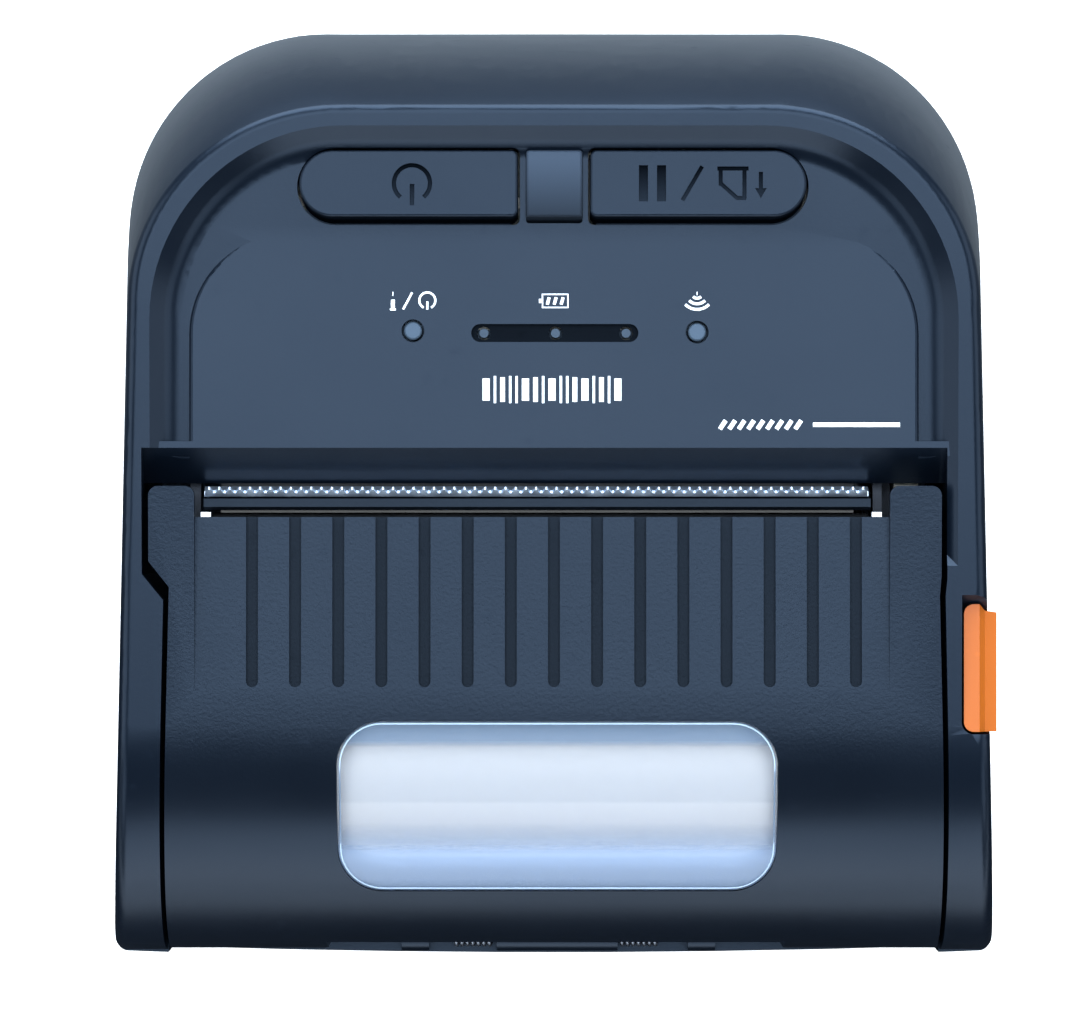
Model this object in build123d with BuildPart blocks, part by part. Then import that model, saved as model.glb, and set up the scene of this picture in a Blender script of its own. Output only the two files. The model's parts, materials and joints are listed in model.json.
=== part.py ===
from build123d import *
import os
from math import acos, atan, atan2, cos, degrees, hypot, pi, radians, sin, tan

os.makedirs("parts", exist_ok=True)

# A portable thermal label printer, lying on its base. X is to the right, Y to the rear and Z up.
# The origin is the middle of the base. All sizes are in millimetres.

# Casing form: height, half width at the front, half width further back, rear face, rear corner
SECTIONS = [
    (0.0, 54.0, 52.2, 56.9, 23.5),
    (10.0, 55.3, 53.5, 58.4, 24.5),
    (35.0, 54.6, 52.8, 55.8, 25.0),
    (46.0, 54.0, 52.2, 51.9, 25.5),
    (54.5, 53.2, 51.4, 45.4, 26.0),
]
FRONT_Y = -57.8
FRONT_BOW = 1.0
FRONT_CORNER = 1.5
REAR_HALF_Y = 30.0
REAR_END = 70.0
REACH = 80.0
WALL = 2.0
FLOOR = 2.0
TOP_WALL = 4.4
PARTING_Z = 16.0
PARTING_GAP = 0.15
RIM_FILLET = 1.5

# Side view: a rim that slopes down to the front and runs into a round nose
RIM_ANGLE = radians(3.35)
ROUND_Y = -26.5
ROUND_Z = 17.7
ROUND_R = 31.0

# Control panel: a dished valley, a raised panel in it and the brow above the paper slot
VALLEY_DEPTH = 2.4
VALLEY_HALF = 46.6
VALLEY_BACK = 42.3
VALLEY_CORNER = 21.0
VALLEY_TAPER = -48.0
VALLEY_FILLET = 3.6
PANEL_Z = 49.7
PANEL_HALF = 44.5
PANEL_BACK = 32.4
PANEL_CORNER = 13.0
BROW_Y = 5.6
BROW_STRIP = 0.8
BROW_LOW_Y = 1.3
BROW_LOW_Z = 44.5
BROW_WALL = 2.2

# Bay for the cover: plan points from the rear left, round the front, to the rear right
BAY_LEFT = -50.3
BAY_RIGHT = 48.0
BAY_POINTS = [(-50.3, -9.8), (-47.7, -13.0), (-48.9, -62.0), (48.9, -62.0), (47.8, -12.5), (48.0, -10.5)]
BAY_WALL = 1.6
SILL_Z = 4.2

# Cover
COVER_GAP = 0.2
COVER_WALL = 2.0
COVER_BOTTOM = 4.8
EAR_REAR = 0.95
EAR_LEFT = (-49.5, -43.9)
EAR_RIGHT = (41.0, 47.3)
MIDDLE_REAR = -2.85
RAMP_FRONT = -24.5
RAMP_DROP = 1.8
FLANGE_HALF = 45.1
FLANGE_DEPTH = 8.2
GROOVE_COUNT = 15
GROOVE_PITCH = 5.27
GROOVE_WIDTH = 1.45
GROOVE_DEPTH = 0.9
GROOVE_FRONT = -23.65
WINDOW_X = (-26.6, 27.4)
WINDOW_Y = (-49.1, -27.75)
WINDOW_CORNER = 5.5
WINDOW_THICK = 1.2
WINDOW_SINK = 0.55
HINGE_Y = -56.4
HINGE_Z = 7.0
HINGE_PIN_R = 0.75
HINGE_PIN_X = (-18.9, 20.2)
HINGE_LUG_R = 2.0
NOTCH_X = (-28.5, 29.0)
NOTCH_TOP = 26.0
NOTCH_DEPTH = 1.0
KNUCKLE_X = (-7.25, 8.2)
LUG_LEFT_X = (-19.4, -15.9)
LUG_RIGHT_X = (17.2, 20.7)

# Print unit
MEDIA_X = (-42.9, 38.8)
PLATEN_Y = -6.6
PLATEN_Z = 41.0
PLATEN_R = 4.2
SHAFT_R = 1.5
GEAR_MODULE = 0.5
GEAR_X = (42.0, 45.0)
PLATEN_TEETH = 16
IDLER_TEETH = 28
PINION_TEETH = 12
GEAR_PLAY = 0.06
GEAR_BACKLASH = 0.12
HEAD_FACE_Y = -2.3
TEAR_BAR_X = (-42.8, 38.5)
TOOTH_PITCH = 1.25
ROLL_Y = -30.8
ROLL_Z = 23.9
ROLL_R = 19.5
ROLL_X = (-41.85, 37.65)
CORE_R = 8.5
TRAY_Y = -31.0
TRAY_Z = 24.8
TRAY_R = 21.4
TRAY_WALL = 1.2
TRAY_TOP = 34.0
TRAY_FRONT_TOP = 22.0

# Latch: shaft across the casing, two hooks and the lever on the right arm
LATCH_Y = 10.0
LATCH_Z = 34.0
LATCH_R = 1.5
LEVER_Y = (-29.1, -13.5)
LEVER_X = (50.1, 54.2)
LEVER_BOTTOM = 36.0
LEVER_TOP = 48.4
LEVER_GAP = 0.3
LEVER_CORNER = 1.2
LEVER_SWEEP = hypot(LATCH_Y - LEVER_Y[1], LEVER_TOP - LATCH_Z)

# Keys and lights
KEY_Z = 51.0
KEY_Y = (33.8, 41.86)
POWER_X = (-31.06, -4.4)
FEED_X = (4.4, 30.8)
BLOCK_X = (-3.4, 3.47)
KEY_GAP = 0.25
KEY_CORNER = 0.8
KEY_LEAN = 0.8
MARK_DEPTH = 0.4
LIGHT_POINTS = [(-17.2, 19.86), (17.46, 19.7)]
BATTERY_LIGHTS = [(-8.55, 19.6), (0.19, 19.6), (8.8, 19.6)]

# Battery bay in the base
PACK_X = 34.5
PACK_Y = (15.2, 51.2)
PACK_TOP = 20.8
BAY_CLEAR = 0.35
BAY_SKIN = 1.4
BOARD_Z = 24.2
KEY_BOARD_Z = 42.4

SCREW_POINTS = [(-46.0, 18.0), (46.0, 18.0), (-41.0, 47.0), (41.0, 47.0)]
INSERT_POINTS = [(-24.0, 2.0), (24.0, 2.0)]
INSERT_BORE_R = 1.65

# Ports in the left side
PORT_Y = (22.3, 39.4)
PORT_Z = (4.0, 13.5)


def casing_outline(front_half, rear_half, back, corner, inset):
    """Plan outline: bowed front, sides that close up to the rear and round rear corners."""
    front = FRONT_Y + inset
    front_half = front_half - inset
    rear_half = rear_half - inset
    back = back - inset
    slope = (rear_half - front_half) / (REAR_HALF_Y - FRONT_Y)
    back_half = front_half + slope * (back - front)
    with BuildSketch() as outline:
        with BuildLine():
            ThreePointArc((-front_half, front), (0, front - FRONT_BOW), (front_half, front))
            Polyline((front_half, front), (back_half, back), (-back_half, back), (-front_half, front))
        make_face()
        fillet(outline.vertices().group_by(Axis.Y)[-1], corner - inset)
        fillet(outline.vertices().group_by(Axis.Y)[0], FRONT_CORNER)
    return outline.sketch


def casing_loft(inset):
    """Smooth solid through the casing's plan outlines, moved inwards by the inset."""
    with BuildPart() as form:
        for height, front_half, rear_half, back, corner in SECTIONS:
            with BuildSketch(Plane.XY.offset(height)):
                add(casing_outline(front_half, rear_half, back, corner, inset))
        loft()
    return form.part


def rim_height(y, inset=0.0):
    """Height of the sloping rim line at y, or of the line parallel to it that lies deeper."""
    radius = ROUND_R - inset
    return ROUND_Z + radius * cos(RIM_ANGLE) + tan(RIM_ANGLE) * (y - ROUND_Y + radius * sin(RIM_ANGLE))


def side_profile(inset, bottom):
    """Side view of the casing and cover, moved inwards by the inset."""
    radius = ROUND_R - inset
    tangent = (ROUND_Y - radius * sin(RIM_ANGLE), ROUND_Z + radius * cos(RIM_ANGLE))
    bend = (ROUND_Y - radius * sin(radians(50)), ROUND_Z + radius * cos(radians(50)))
    front = (ROUND_Y - radius, ROUND_Z)
    rear = (REAR_END, rim_height(REAR_END, inset))
    with BuildSketch(Plane.YZ) as profile:
        with BuildLine():
            Line(rear, tangent)
            ThreePointArc(tangent, bend, front)
            Polyline(front, (front[0], bottom), (REAR_END, bottom), rear)
        make_face()
    return profile.sketch


def prism(points, x_range):
    """Solid with a side view given by (y, z) points, between two x positions."""
    with BuildPart() as solid:
        with BuildSketch(Plane.YZ.offset(x_range[0])):
            Polygon(*points, align=None)
        extrude(amount=x_range[1] - x_range[0])
    return solid.part


def block(x_range, y_range, z_range):
    """Plain box between two corners, used to add or cut where a sketch would say no more."""
    with BuildPart() as solid:
        with Locations((x_range[0], y_range[0], z_range[0])):
            size = [high - low for low, high in (x_range, y_range, z_range)]
            Box(*size, align=(Align.MIN, Align.MIN, Align.MIN))
    return solid.part


def rod(x_range, y, z, radius, bore=0.0):
    """Round bar or tube along X."""
    with BuildPart() as solid:
        with BuildSketch(Plane.YZ.offset(x_range[0])):
            with Locations((y, z)):
                Circle(radius)
                if bore > 0:
                    Circle(bore, mode=Mode.SUBTRACT)
        extrude(amount=x_range[1] - x_range[0])
    return solid.part


def plan_extrusion(points, bottom, top):
    """Solid with a plan view given by (x, y) points, between two heights."""
    with BuildPart() as solid:
        with BuildSketch(Plane.XY.offset(bottom)):
            Polygon(*points, align=None)
        extrude(amount=top - bottom)
    return solid.part


def coil_sleeve(x_range, y, z, inner, wire, turns):
    """Close-wound spring round a bar along X: one ring for each turn, joined side by side."""
    pitch = (x_range[1] - x_range[0]) / turns
    with BuildPart() as coil:
        with BuildSketch(Plane.XY.offset(z)):
            with Locations((x_range[0], y + inner + wire / 4)):
                Rectangle(x_range[1] - x_range[0], wire / 2, align=(Align.MIN, Align.CENTER))
            for turn in range(turns):
                with Locations((x_range[0] + pitch * (turn + 0.5), y + inner + wire / 2)):
                    Rectangle(pitch * 0.6, wire)
        revolve(axis=Axis((0, y, z), (1, 0, 0)))
    return coil.part


# ---------------------------------------------------------------- upper casing
valley_plane = Plane(
    origin=(0, 0, rim_height(0, VALLEY_DEPTH)),
    x_dir=(1, 0, 0),
    z_dir=(0, -sin(RIM_ANGLE), cos(RIM_ANGLE)),
)
with BuildPart() as valley:
    with BuildSketch(valley_plane) as valley_outline:
        with Locations((0, VALLEY_BACK)):
            Rectangle(2 * VALLEY_HALF, VALLEY_BACK + 6, align=(Align.CENTER, Align.MAX))
        fillet(valley_outline.vertices().group_by(Axis.Y)[-1], VALLEY_CORNER)
    extrude(amount=3 * VALLEY_DEPTH, taper=VALLEY_TAPER)
    fillet(valley.faces().sort_by(Axis.Z)[0].edges(), VALLEY_FILLET)

with BuildPart() as panel:
    with BuildSketch(Plane.XY.offset(PANEL_Z - 4)) as panel_outline:
        with Locations((0, PANEL_BACK)):
            Rectangle(2 * PANEL_HALF, PANEL_BACK, align=(Align.CENTER, Align.MAX))
        fillet(panel_outline.vertices().group_by(Axis.Y)[-1], PANEL_CORNER)
    extrude(amount=4)
    fillet(panel.faces().sort_by(Axis.Z)[-1].edges(), 0.5)

bay_outline = [(BAY_LEFT, BROW_Y)] + BAY_POINTS + [(BAY_RIGHT, BROW_Y)]
brow_view = [(-65, 0), (-65, 70), (BROW_Y, 70), (BROW_Y, PANEL_Z), (BROW_LOW_Y, BROW_LOW_Z), (BROW_LOW_Y, 0)]
cover_bay = plan_extrusion(bay_outline, SILL_Z, 65) & prism(brow_view, (-70, 70))

with BuildPart() as bay_walls:
    with BuildSketch(Plane.XY.offset(FLOOR - 0.5)) as wall_ring:
        Polygon(*bay_outline, align=None)
        offset(amount=BAY_WALL, kind=Kind.INTERSECTION)
        Polygon((BAY_LEFT, 20), *BAY_POINTS, (BAY_RIGHT, 20), align=None, mode=Mode.SUBTRACT)
    extrude(amount=60)
brow_lip_view = [
    (BROW_Y, PANEL_Z),
    (BROW_LOW_Y, BROW_LOW_Z),
    (BROW_LOW_Y + BROW_WALL, BROW_LOW_Z),
    (BROW_Y + BROW_WALL, PANEL_Z - 0.4),
]
brow_lip = prism(brow_lip_view, (BAY_LEFT - BAY_WALL, BAY_RIGHT + BAY_WALL))

with BuildPart() as upper_cavity:
    add(casing_loft(WALL))
    extrude(side_profile(TOP_WALL, PARTING_Z - 3), amount=REACH, both=True, mode=Mode.INTERSECT)
    add(bay_walls.part, mode=Mode.SUBTRACT)
    add(brow_lip, mode=Mode.SUBTRACT)
    with Locations([(x, y, PARTING_Z) for x, y in SCREW_POINTS]):
        Cylinder(2.6, 40, align=(Align.CENTER, Align.CENTER, Align.MIN), mode=Mode.SUBTRACT)


def on_rim(edge):
    """True for the edges between the top of the casing and its sides."""
    middle = edge.position_at(0.5)
    on_slope = abs(middle.Z - rim_height(middle.Y)) < 0.3
    on_nose = abs(hypot(middle.Y - ROUND_Y, middle.Z - ROUND_Z) - ROUND_R) < 0.3 and middle.Y < ROUND_Y
    return (on_slope or on_nose) and edge.length > 4


def key_outline(x_range, y_range, round_end):
    """Plan of a key: one round end, on the side that round_end gives, and one nearly square end."""
    depth = y_range[1] - y_range[0]
    with BuildSketch() as outline:
        with Locations((x_range[0], y_range[0])):
            Rectangle(x_range[1] - x_range[0], depth, align=(Align.MIN, Align.MIN))
        ends = outline.vertices().group_by(Axis.X)
        fillet(ends[round_end], depth / 2 - 0.01)
        ends = outline.vertices().group_by(Axis.X)
        fillet(ends[round_end - 1], KEY_CORNER)
    return outline.sketch


def block_outline(gap):
    """Plan of the fixed block between the keys, made larger all round by the gap."""
    with BuildSketch() as outline:
        with Locations((BLOCK_X[0] - gap, KEY_Y[0] - KEY_LEAN - gap)):
            width = BLOCK_X[1] - BLOCK_X[0] + 2 * gap
            Rectangle(width, KEY_Y[1] - KEY_Y[0] + KEY_LEAN + 2 * gap, align=(Align.MIN, Align.MIN))
        fillet(outline.vertices(), 0.4 + gap)
    return outline.sketch


with BuildPart() as upper_casing:
    add(casing_loft(0))
    profile = side_profile(0, PARTING_Z + PARTING_GAP)
    extrude(profile, amount=REACH, both=True, mode=Mode.INTERSECT)
    fillet(upper_casing.edges().filter_by(on_rim), RIM_FILLET)
    add(valley.part, mode=Mode.SUBTRACT)
    add(panel.part)
    add(block((BAY_LEFT - 0.5, BAY_RIGHT + 0.5), (BROW_Y - 1, BROW_Y + BROW_STRIP), (45, PANEL_Z)))
    add(upper_cavity.part, mode=Mode.SUBTRACT)
    add(cover_bay, mode=Mode.SUBTRACT)
    # openings for the keys and the block, with a narrow strip left between each two
    slot_y = (KEY_Y[0] - KEY_LEAN - KEY_GAP, KEY_Y[1] + KEY_GAP)
    with BuildSketch(Plane.XY.offset(40)):
        add(key_outline((POWER_X[0] - KEY_GAP, POWER_X[1] + KEY_GAP), slot_y, 0))
        add(key_outline((FEED_X[0] - KEY_GAP, FEED_X[1] + KEY_GAP), slot_y, 1))
        add(block_outline(0.03))
    extrude(amount=20, mode=Mode.SUBTRACT)
    # light holes and the battery light slot
    with Locations([(x, y, PANEL_Z) for x, y in LIGHT_POINTS]):
        Cylinder(1.4, 12, mode=Mode.SUBTRACT)
    with Locations([(x, y, PANEL_Z) for x, y in BATTERY_LIGHTS]):
        Cylinder(0.85, 12, mode=Mode.SUBTRACT)
    with BuildSketch(Plane.XY.offset(PANEL_Z - 1)):
        with Locations((0.1, BATTERY_LIGHTS[0][1])):
            SlotOverall(20.4, 2.2)
    extrude(amount=3, mode=Mode.SUBTRACT)
    # screw holes in the posts, and the notch for the lever in the right arm
    with Locations([(x, y, PARTING_Z) for x, y in SCREW_POINTS]):
        Cylinder(1.3, 20, mode=Mode.SUBTRACT)
    # its rear wall is round the latch shaft, so that the pad clears it all the way up
    with BuildPart(mode=Mode.PRIVATE) as lever_notch:
        notch_y = (LEVER_Y[0] - LEVER_GAP, LEVER_Y[1] + 4)
        add(block((LEVER_X[0] - LEVER_GAP, 60), notch_y, (LEVER_BOTTOM - LEVER_GAP, 60)))
        fillet(lever_notch.edges().filter_by(Axis.Z).sort_by(Axis.X)[:2], LEVER_CORNER + LEVER_GAP)
        add(rod((40, 70), LATCH_Y, LATCH_Z, LEVER_SWEEP - LEVER_GAP), mode=Mode.SUBTRACT)
    add(lever_notch.part, mode=Mode.SUBTRACT)
upper_casing.part.label = "upper_casing"
export_step(upper_casing.part, "parts/upper_casing.step")

# ---------------------------------------------------------------- lower casing
bay_x = PACK_X + BAY_CLEAR
bay_y = (PACK_Y[0] - BAY_CLEAR, PACK_Y[1] + BAY_CLEAR)
bay_top = PACK_TOP + 0.6
with BuildPart() as lower_casing:
    add(casing_loft(0))
    add(block((-REACH, REACH), (-REACH, REACH), (PARTING_Z, REACH)), mode=Mode.SUBTRACT)
    chamfer(lower_casing.faces().sort_by(Axis.Z)[0].edges(), 0.8)
    with BuildPart(mode=Mode.PRIVATE) as lower_cavity:
        add(casing_loft(WALL))
        add(block((-REACH, REACH), (-REACH, REACH), (-1, FLOOR)), mode=Mode.SUBTRACT)
    add(lower_cavity.part, mode=Mode.SUBTRACT)
    add(bay_walls.part & block((-56, 56), (-56.8, 30), (FLOOR - 0.5, PARTING_Z)))
    add(cover_bay & block((-60, 60), (-65, -40), (SILL_Z, 60)), mode=Mode.SUBTRACT)
    # battery bay
    outer_x = (-bay_x - BAY_SKIN, bay_x + BAY_SKIN)
    outer_y = (bay_y[0] - BAY_SKIN, bay_y[1] + BAY_SKIN)
    add(block(outer_x, outer_y, (FLOOR - 0.5, bay_top + BAY_SKIN)))
    add(block((-bay_x, bay_x), bay_y, (-1, bay_top)), mode=Mode.SUBTRACT)
    with Locations([(x, 22, bay_top) for x in (-9, -3, 3, 9)]):
        Cylinder(0.8, 6, mode=Mode.SUBTRACT)
    # pocket for the battery latch
    add(block((-8.6, 8.6), (6.0, bay_y[0] - 0.2), (FLOOR - 0.5, 6.4)))
    add(block((-7, 7), (7.6, bay_y[0] + 0.5), (-1, 4.8)), mode=Mode.SUBTRACT)
    # screw posts
    with Locations([(x, y, FLOOR - 0.5) for x, y in SCREW_POINTS]):
        Cylinder(3.2, PARTING_Z - FLOOR + 0.4, align=(Align.CENTER, Align.CENTER, Align.MIN))
    with Locations([(x, y, 0) for x, y in SCREW_POINTS]):
        Cylinder(1.35, 60, mode=Mode.SUBTRACT)
        Cylinder(2.7, 7, mode=Mode.SUBTRACT)
    # posts for the brass inserts
    with Locations([(x, y, FLOOR - 0.5) for x, y in INSERT_POINTS]):
        Cylinder(4.2, 6.5, align=(Align.CENTER, Align.CENTER, Align.MIN))
    with Locations([(x, y, 0) for x, y in INSERT_POINTS]):
        Cylinder(2.65, 12.4, mode=Mode.SUBTRACT)
    # hinge knuckle on the sill
    knuckle_view = [(HINGE_Y - 1.9, 1), (HINGE_Y + 2, 1), (HINGE_Y + 2, HINGE_Z), (HINGE_Y - 1.9, HINGE_Z)]
    add(prism(knuckle_view, KNUCKLE_X))
    add(rod(KNUCKLE_X, HINGE_Y, HINGE_Z, HINGE_LUG_R))
    add(rod((-9, 10), HINGE_Y, HINGE_Z, HINGE_PIN_R + 0.03), mode=Mode.SUBTRACT)
    # opening for the sockets in the left side, and the recess for the rating plate
    add(block((-60, -48.2), PORT_Y, PORT_Z), mode=Mode.SUBTRACT)
    add(block((-25, 25), (-46, -14), (-1, 0.4)), mode=Mode.SUBTRACT)
lower_casing.part.label = "lower_casing"
export_step(lower_casing.part, "parts/lower_casing.step")

# ---------------------------------------------------------------- cover
cover_outline = [
    (EAR_LEFT[0], EAR_REAR),
    (EAR_LEFT[0], -8.24),
    (-47.0, -11.4),
    (-48.3, -60),
    (48.3, -60),
    (47.1, -12.5),
    (EAR_RIGHT[1], -10.0),
    (EAR_RIGHT[1], EAR_REAR),
    (EAR_RIGHT[0], EAR_REAR),
    (EAR_RIGHT[0], MIDDLE_REAR),
    (EAR_LEFT[1], MIDDLE_REAR),
    (EAR_LEFT[1], EAR_REAR),
]
ramp_top = rim_height(RAMP_FRONT, COVER_GAP)
ramp_rear = rim_height(MIDDLE_REAR, COVER_GAP) - RAMP_DROP
ramp_slope = (ramp_rear - ramp_top) / (MIDDLE_REAR - RAMP_FRONT)


def above_ramp(drop):
    """Side view of all that lies above the cover's ramp, or above a line under the ramp."""
    rear = 10.0
    rear_z = ramp_top - drop + ramp_slope * (rear - RAMP_FRONT)
    return [(RAMP_FRONT, ramp_top - drop), (rear, rear_z), (rear, 65), (RAMP_FRONT, 65)]


def window_outline(inset):
    """Plan of the window, made smaller all round by the inset."""
    width = WINDOW_X[1] - WINDOW_X[0] - 2 * inset
    depth = WINDOW_Y[1] - WINDOW_Y[0] - 2 * inset
    with BuildSketch(Plane.XY.offset(ROUND_Z + 5)) as outline:
        with Locations(((WINDOW_X[0] + WINDOW_X[1]) / 2, (WINDOW_Y[0] + WINDOW_Y[1]) / 2)):
            RectangleRounded(width, depth, WINDOW_CORNER - inset)
    return outline.sketch


def skin(outer_inset, inner_inset, bottom):
    """Curved sheet that follows the cover between two depths, as wide as the casing."""
    with BuildPart() as sheet:
        extrude(side_profile(outer_inset, bottom), amount=REACH, both=True)
        extrude(side_profile(inner_inset, bottom - 1), amount=REACH, both=True, mode=Mode.SUBTRACT)
    return sheet.part


with BuildPart() as cover_hollow:
    extrude(side_profile(COVER_GAP + COVER_WALL, 0), amount=FLANGE_HALF, both=True)
    add(prism(above_ramp(COVER_WALL), (EAR_LEFT[1], EAR_RIGHT[0])), mode=Mode.SUBTRACT)

with BuildPart() as media_cover:
    with BuildSketch(Plane.XY.offset(COVER_BOTTOM)):
        Polygon(*cover_outline, align=None)
    extrude(amount=60)
    extrude(side_profile(COVER_GAP, COVER_BOTTOM), amount=REACH, both=True, mode=Mode.INTERSECT)
    # round the corners that show, before the cover is hollowed out
    upright = media_cover.edges().filter_by(Axis.Z).filter_by(lambda edge: edge.center().Y > -15)
    fillet(upright.filter_by(lambda edge: edge.center().Y > 0), 1.2)
    add(prism(above_ramp(0), (EAR_LEFT[1], EAR_RIGHT[0])), mode=Mode.SUBTRACT)
    add(cover_hollow.part, mode=Mode.SUBTRACT)
    extrude(side_profile(FLANGE_DEPTH, 0), amount=REACH, both=True, mode=Mode.SUBTRACT)
    # grooves
    for index in range(GROOVE_COUNT):
        groove_x = (index - (GROOVE_COUNT - 1) / 2) * GROOVE_PITCH
        floor_front = ramp_top - GROOVE_DEPTH + ramp_slope * (GROOVE_FRONT - RAMP_FRONT)
        groove_plane = Plane(origin=(groove_x, GROOVE_FRONT, floor_front), x_dir=(1, 0, 0),
                             z_dir=(0, -sin(atan(ramp_slope)), cos(atan(ramp_slope))))
        with BuildSketch(groove_plane):
            with Locations((0, GROOVE_WIDTH / 2)):
                Circle(GROOVE_WIDTH / 2)
                Rectangle(GROOVE_WIDTH, 30, align=(Align.CENTER, Align.MIN))
        extrude(amount=3, mode=Mode.SUBTRACT)
    # window opening
    extrude(window_outline(0), amount=40, mode=Mode.SUBTRACT)
    # cheeks that carry the platen
    for cheek_x in ((-47.0, -45.0), (45.4, 47.2)):
        cheek_view = [(PLATEN_Y - 5.5, PLATEN_Z), (PLATEN_Y + 5.5, PLATEN_Z),
                      (PLATEN_Y + 5.5, PLATEN_Z + 7), (PLATEN_Y - 5.5, PLATEN_Z + 7)]
        add(prism(cheek_view, cheek_x))
        add(rod(cheek_x, PLATEN_Y, PLATEN_Z, 5.5))
        add(rod((cheek_x[0] - 3, cheek_x[1]), PLATEN_Y, PLATEN_Z, 2.6), mode=Mode.SUBTRACT)
    # hinge: a recess across the front, lugs for the pin and a way through for the springs
    recess = skin(COVER_GAP - 1, COVER_GAP + NOTCH_DEPTH, 0) & block(NOTCH_X, (-70, -50), (0, NOTCH_TOP))
    add(recess, mode=Mode.SUBTRACT)
    for lug_x in (LUG_LEFT_X, LUG_RIGHT_X):
        add(rod(lug_x, HINGE_Y, HINGE_Z, HINGE_LUG_R))
        lug_view = [(HINGE_Y, HINGE_Z), (HINGE_Y + 2, HINGE_Z), (HINGE_Y + 2, 14), (HINGE_Y + 0.6, 14)]
        add(prism(lug_view, lug_x))
    add(rod(HINGE_PIN_X, HINGE_Y, HINGE_Z, HINGE_PIN_R), mode=Mode.SUBTRACT)
    spring_gap = (LUG_LEFT_X[1], LUG_RIGHT_X[0])
    add(block(spring_gap, (-70, -50), (0, HINGE_Z + 3.4)), mode=Mode.SUBTRACT)
media_cover.part.label = "media_cover"
export_step(media_cover.part, "parts/media_cover.step")

with BuildPart() as window:
    add(skin(COVER_GAP + WINDOW_SINK, COVER_GAP + COVER_WALL + WINDOW_THICK, ROUND_Z - 5))
    extrude(window_outline(0.1), amount=40, mode=Mode.INTERSECT)
    with BuildPart(mode=Mode.PRIVATE) as window_flange:
        add(skin(COVER_GAP + COVER_WALL + 0.05, COVER_GAP + COVER_WALL + WINDOW_THICK, ROUND_Z - 5))
        extrude(window_outline(-2), amount=40, mode=Mode.INTERSECT)
    add(window_flange.part)
window.part.label = "window"
export_step(window.part, "parts/window.step")

with BuildPart() as platen_bushes:
    add(rod((-47.0, -45.0), PLATEN_Y, PLATEN_Z, 2.58, SHAFT_R + 0.04))
    add(rod((45.4, 47.2), PLATEN_Y, PLATEN_Z, 2.58, SHAFT_R + 0.04))
platen_bushes.part.label = "platen_bushes"
export_step(platen_bushes.part, "parts/platen_bushes.step")

with BuildPart() as edge_pins:
    # bright ends of the cover's two locating pins, one beside each end of the paper slot
    for pin_x in ((-43.2, -42.0), (38.9, 40.1)):
        add(block(pin_x, (MIDDLE_REAR + 0.02, MIDDLE_REAR + 0.6), (44.6, 47.2)))
edge_pins.part.label = "edge_pins"
export_step(edge_pins.part, "parts/edge_pins.step")

# ---------------------------------------------------------------- hinge
with BuildPart() as hinge_pin:
    add(rod((HINGE_PIN_X[0] + 0.2, HINGE_PIN_X[1] - 0.2), HINGE_Y, HINGE_Z, HINGE_PIN_R - 0.03))
hinge_pin.part.label = "hinge_pin"
export_step(hinge_pin.part, "parts/hinge_pin.step")

with BuildPart() as hinge_springs:
    add(coil_sleeve((-13.0, -7.4), HINGE_Y, HINGE_Z, HINGE_PIN_R + 0.1, 0.7, 6))
    add(coil_sleeve((8.35, 13.7), HINGE_Y, HINGE_Z, HINGE_PIN_R + 0.1, 0.7, 6))
hinge_springs.part.label = "hinge_springs"
export_step(hinge_springs.part, "parts/hinge_springs.step")

# ---------------------------------------------------------------- platen and gears
with BuildPart() as platen_shaft:
    add(rod((-46.8, 47.0), PLATEN_Y, PLATEN_Z, SHAFT_R))
platen_shaft.part.label = "platen_shaft"
export_step(platen_shaft.part, "parts/platen_shaft.step")

with BuildPart() as platen_rubber:
    add(rod(MEDIA_X, PLATEN_Y, PLATEN_Z, PLATEN_R, SHAFT_R + 0.01))
    fillet(platen_rubber.edges().filter_by(GeomType.CIRCLE).sort_by(SortBy.RADIUS)[-2:], 0.5)
platen_rubber.part.label = "platen_rubber"
export_step(platen_rubber.part, "parts/platen_rubber.step")


def gear(teeth, bore, centre, turn):
    """Spur gear along X with involute flanks. One tooth points along the angle turn, in degrees."""
    pitch_r = GEAR_MODULE * teeth / 2
    base_r = pitch_r * cos(radians(20))
    pitch_half = (pi * GEAR_MODULE / 2 - GEAR_BACKLASH) / (2 * pitch_r)
    involute_20 = tan(radians(20)) - radians(20)
    radii = [pitch_r - 1.2 * GEAR_MODULE, pitch_r, pitch_r + 0.9 * GEAR_MODULE]
    halves = []
    for radius in radii:
        angle = acos(min(1.0, base_r / radius))
        halves.append(pitch_half + involute_20 - (tan(angle) - angle))
    points = []
    for tooth in range(teeth):
        middle = radians(turn) + 2 * pi * tooth / teeth
        for radius, half in zip(radii, halves):
            points.append((radius * cos(middle - half), radius * sin(middle - half)))
        for radius, half in zip(reversed(radii), reversed(halves)):
            points.append((radius * cos(middle + half), radius * sin(middle + half)))
    with BuildPart() as solid:
        with BuildSketch(Plane.YZ.offset(GEAR_X[0])):
            with Locations(centre):
                Polygon(*points, align=None)
                Circle(bore, mode=Mode.SUBTRACT)
        extrude(amount=GEAR_X[1] - GEAR_X[0])
    return solid.part


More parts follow.
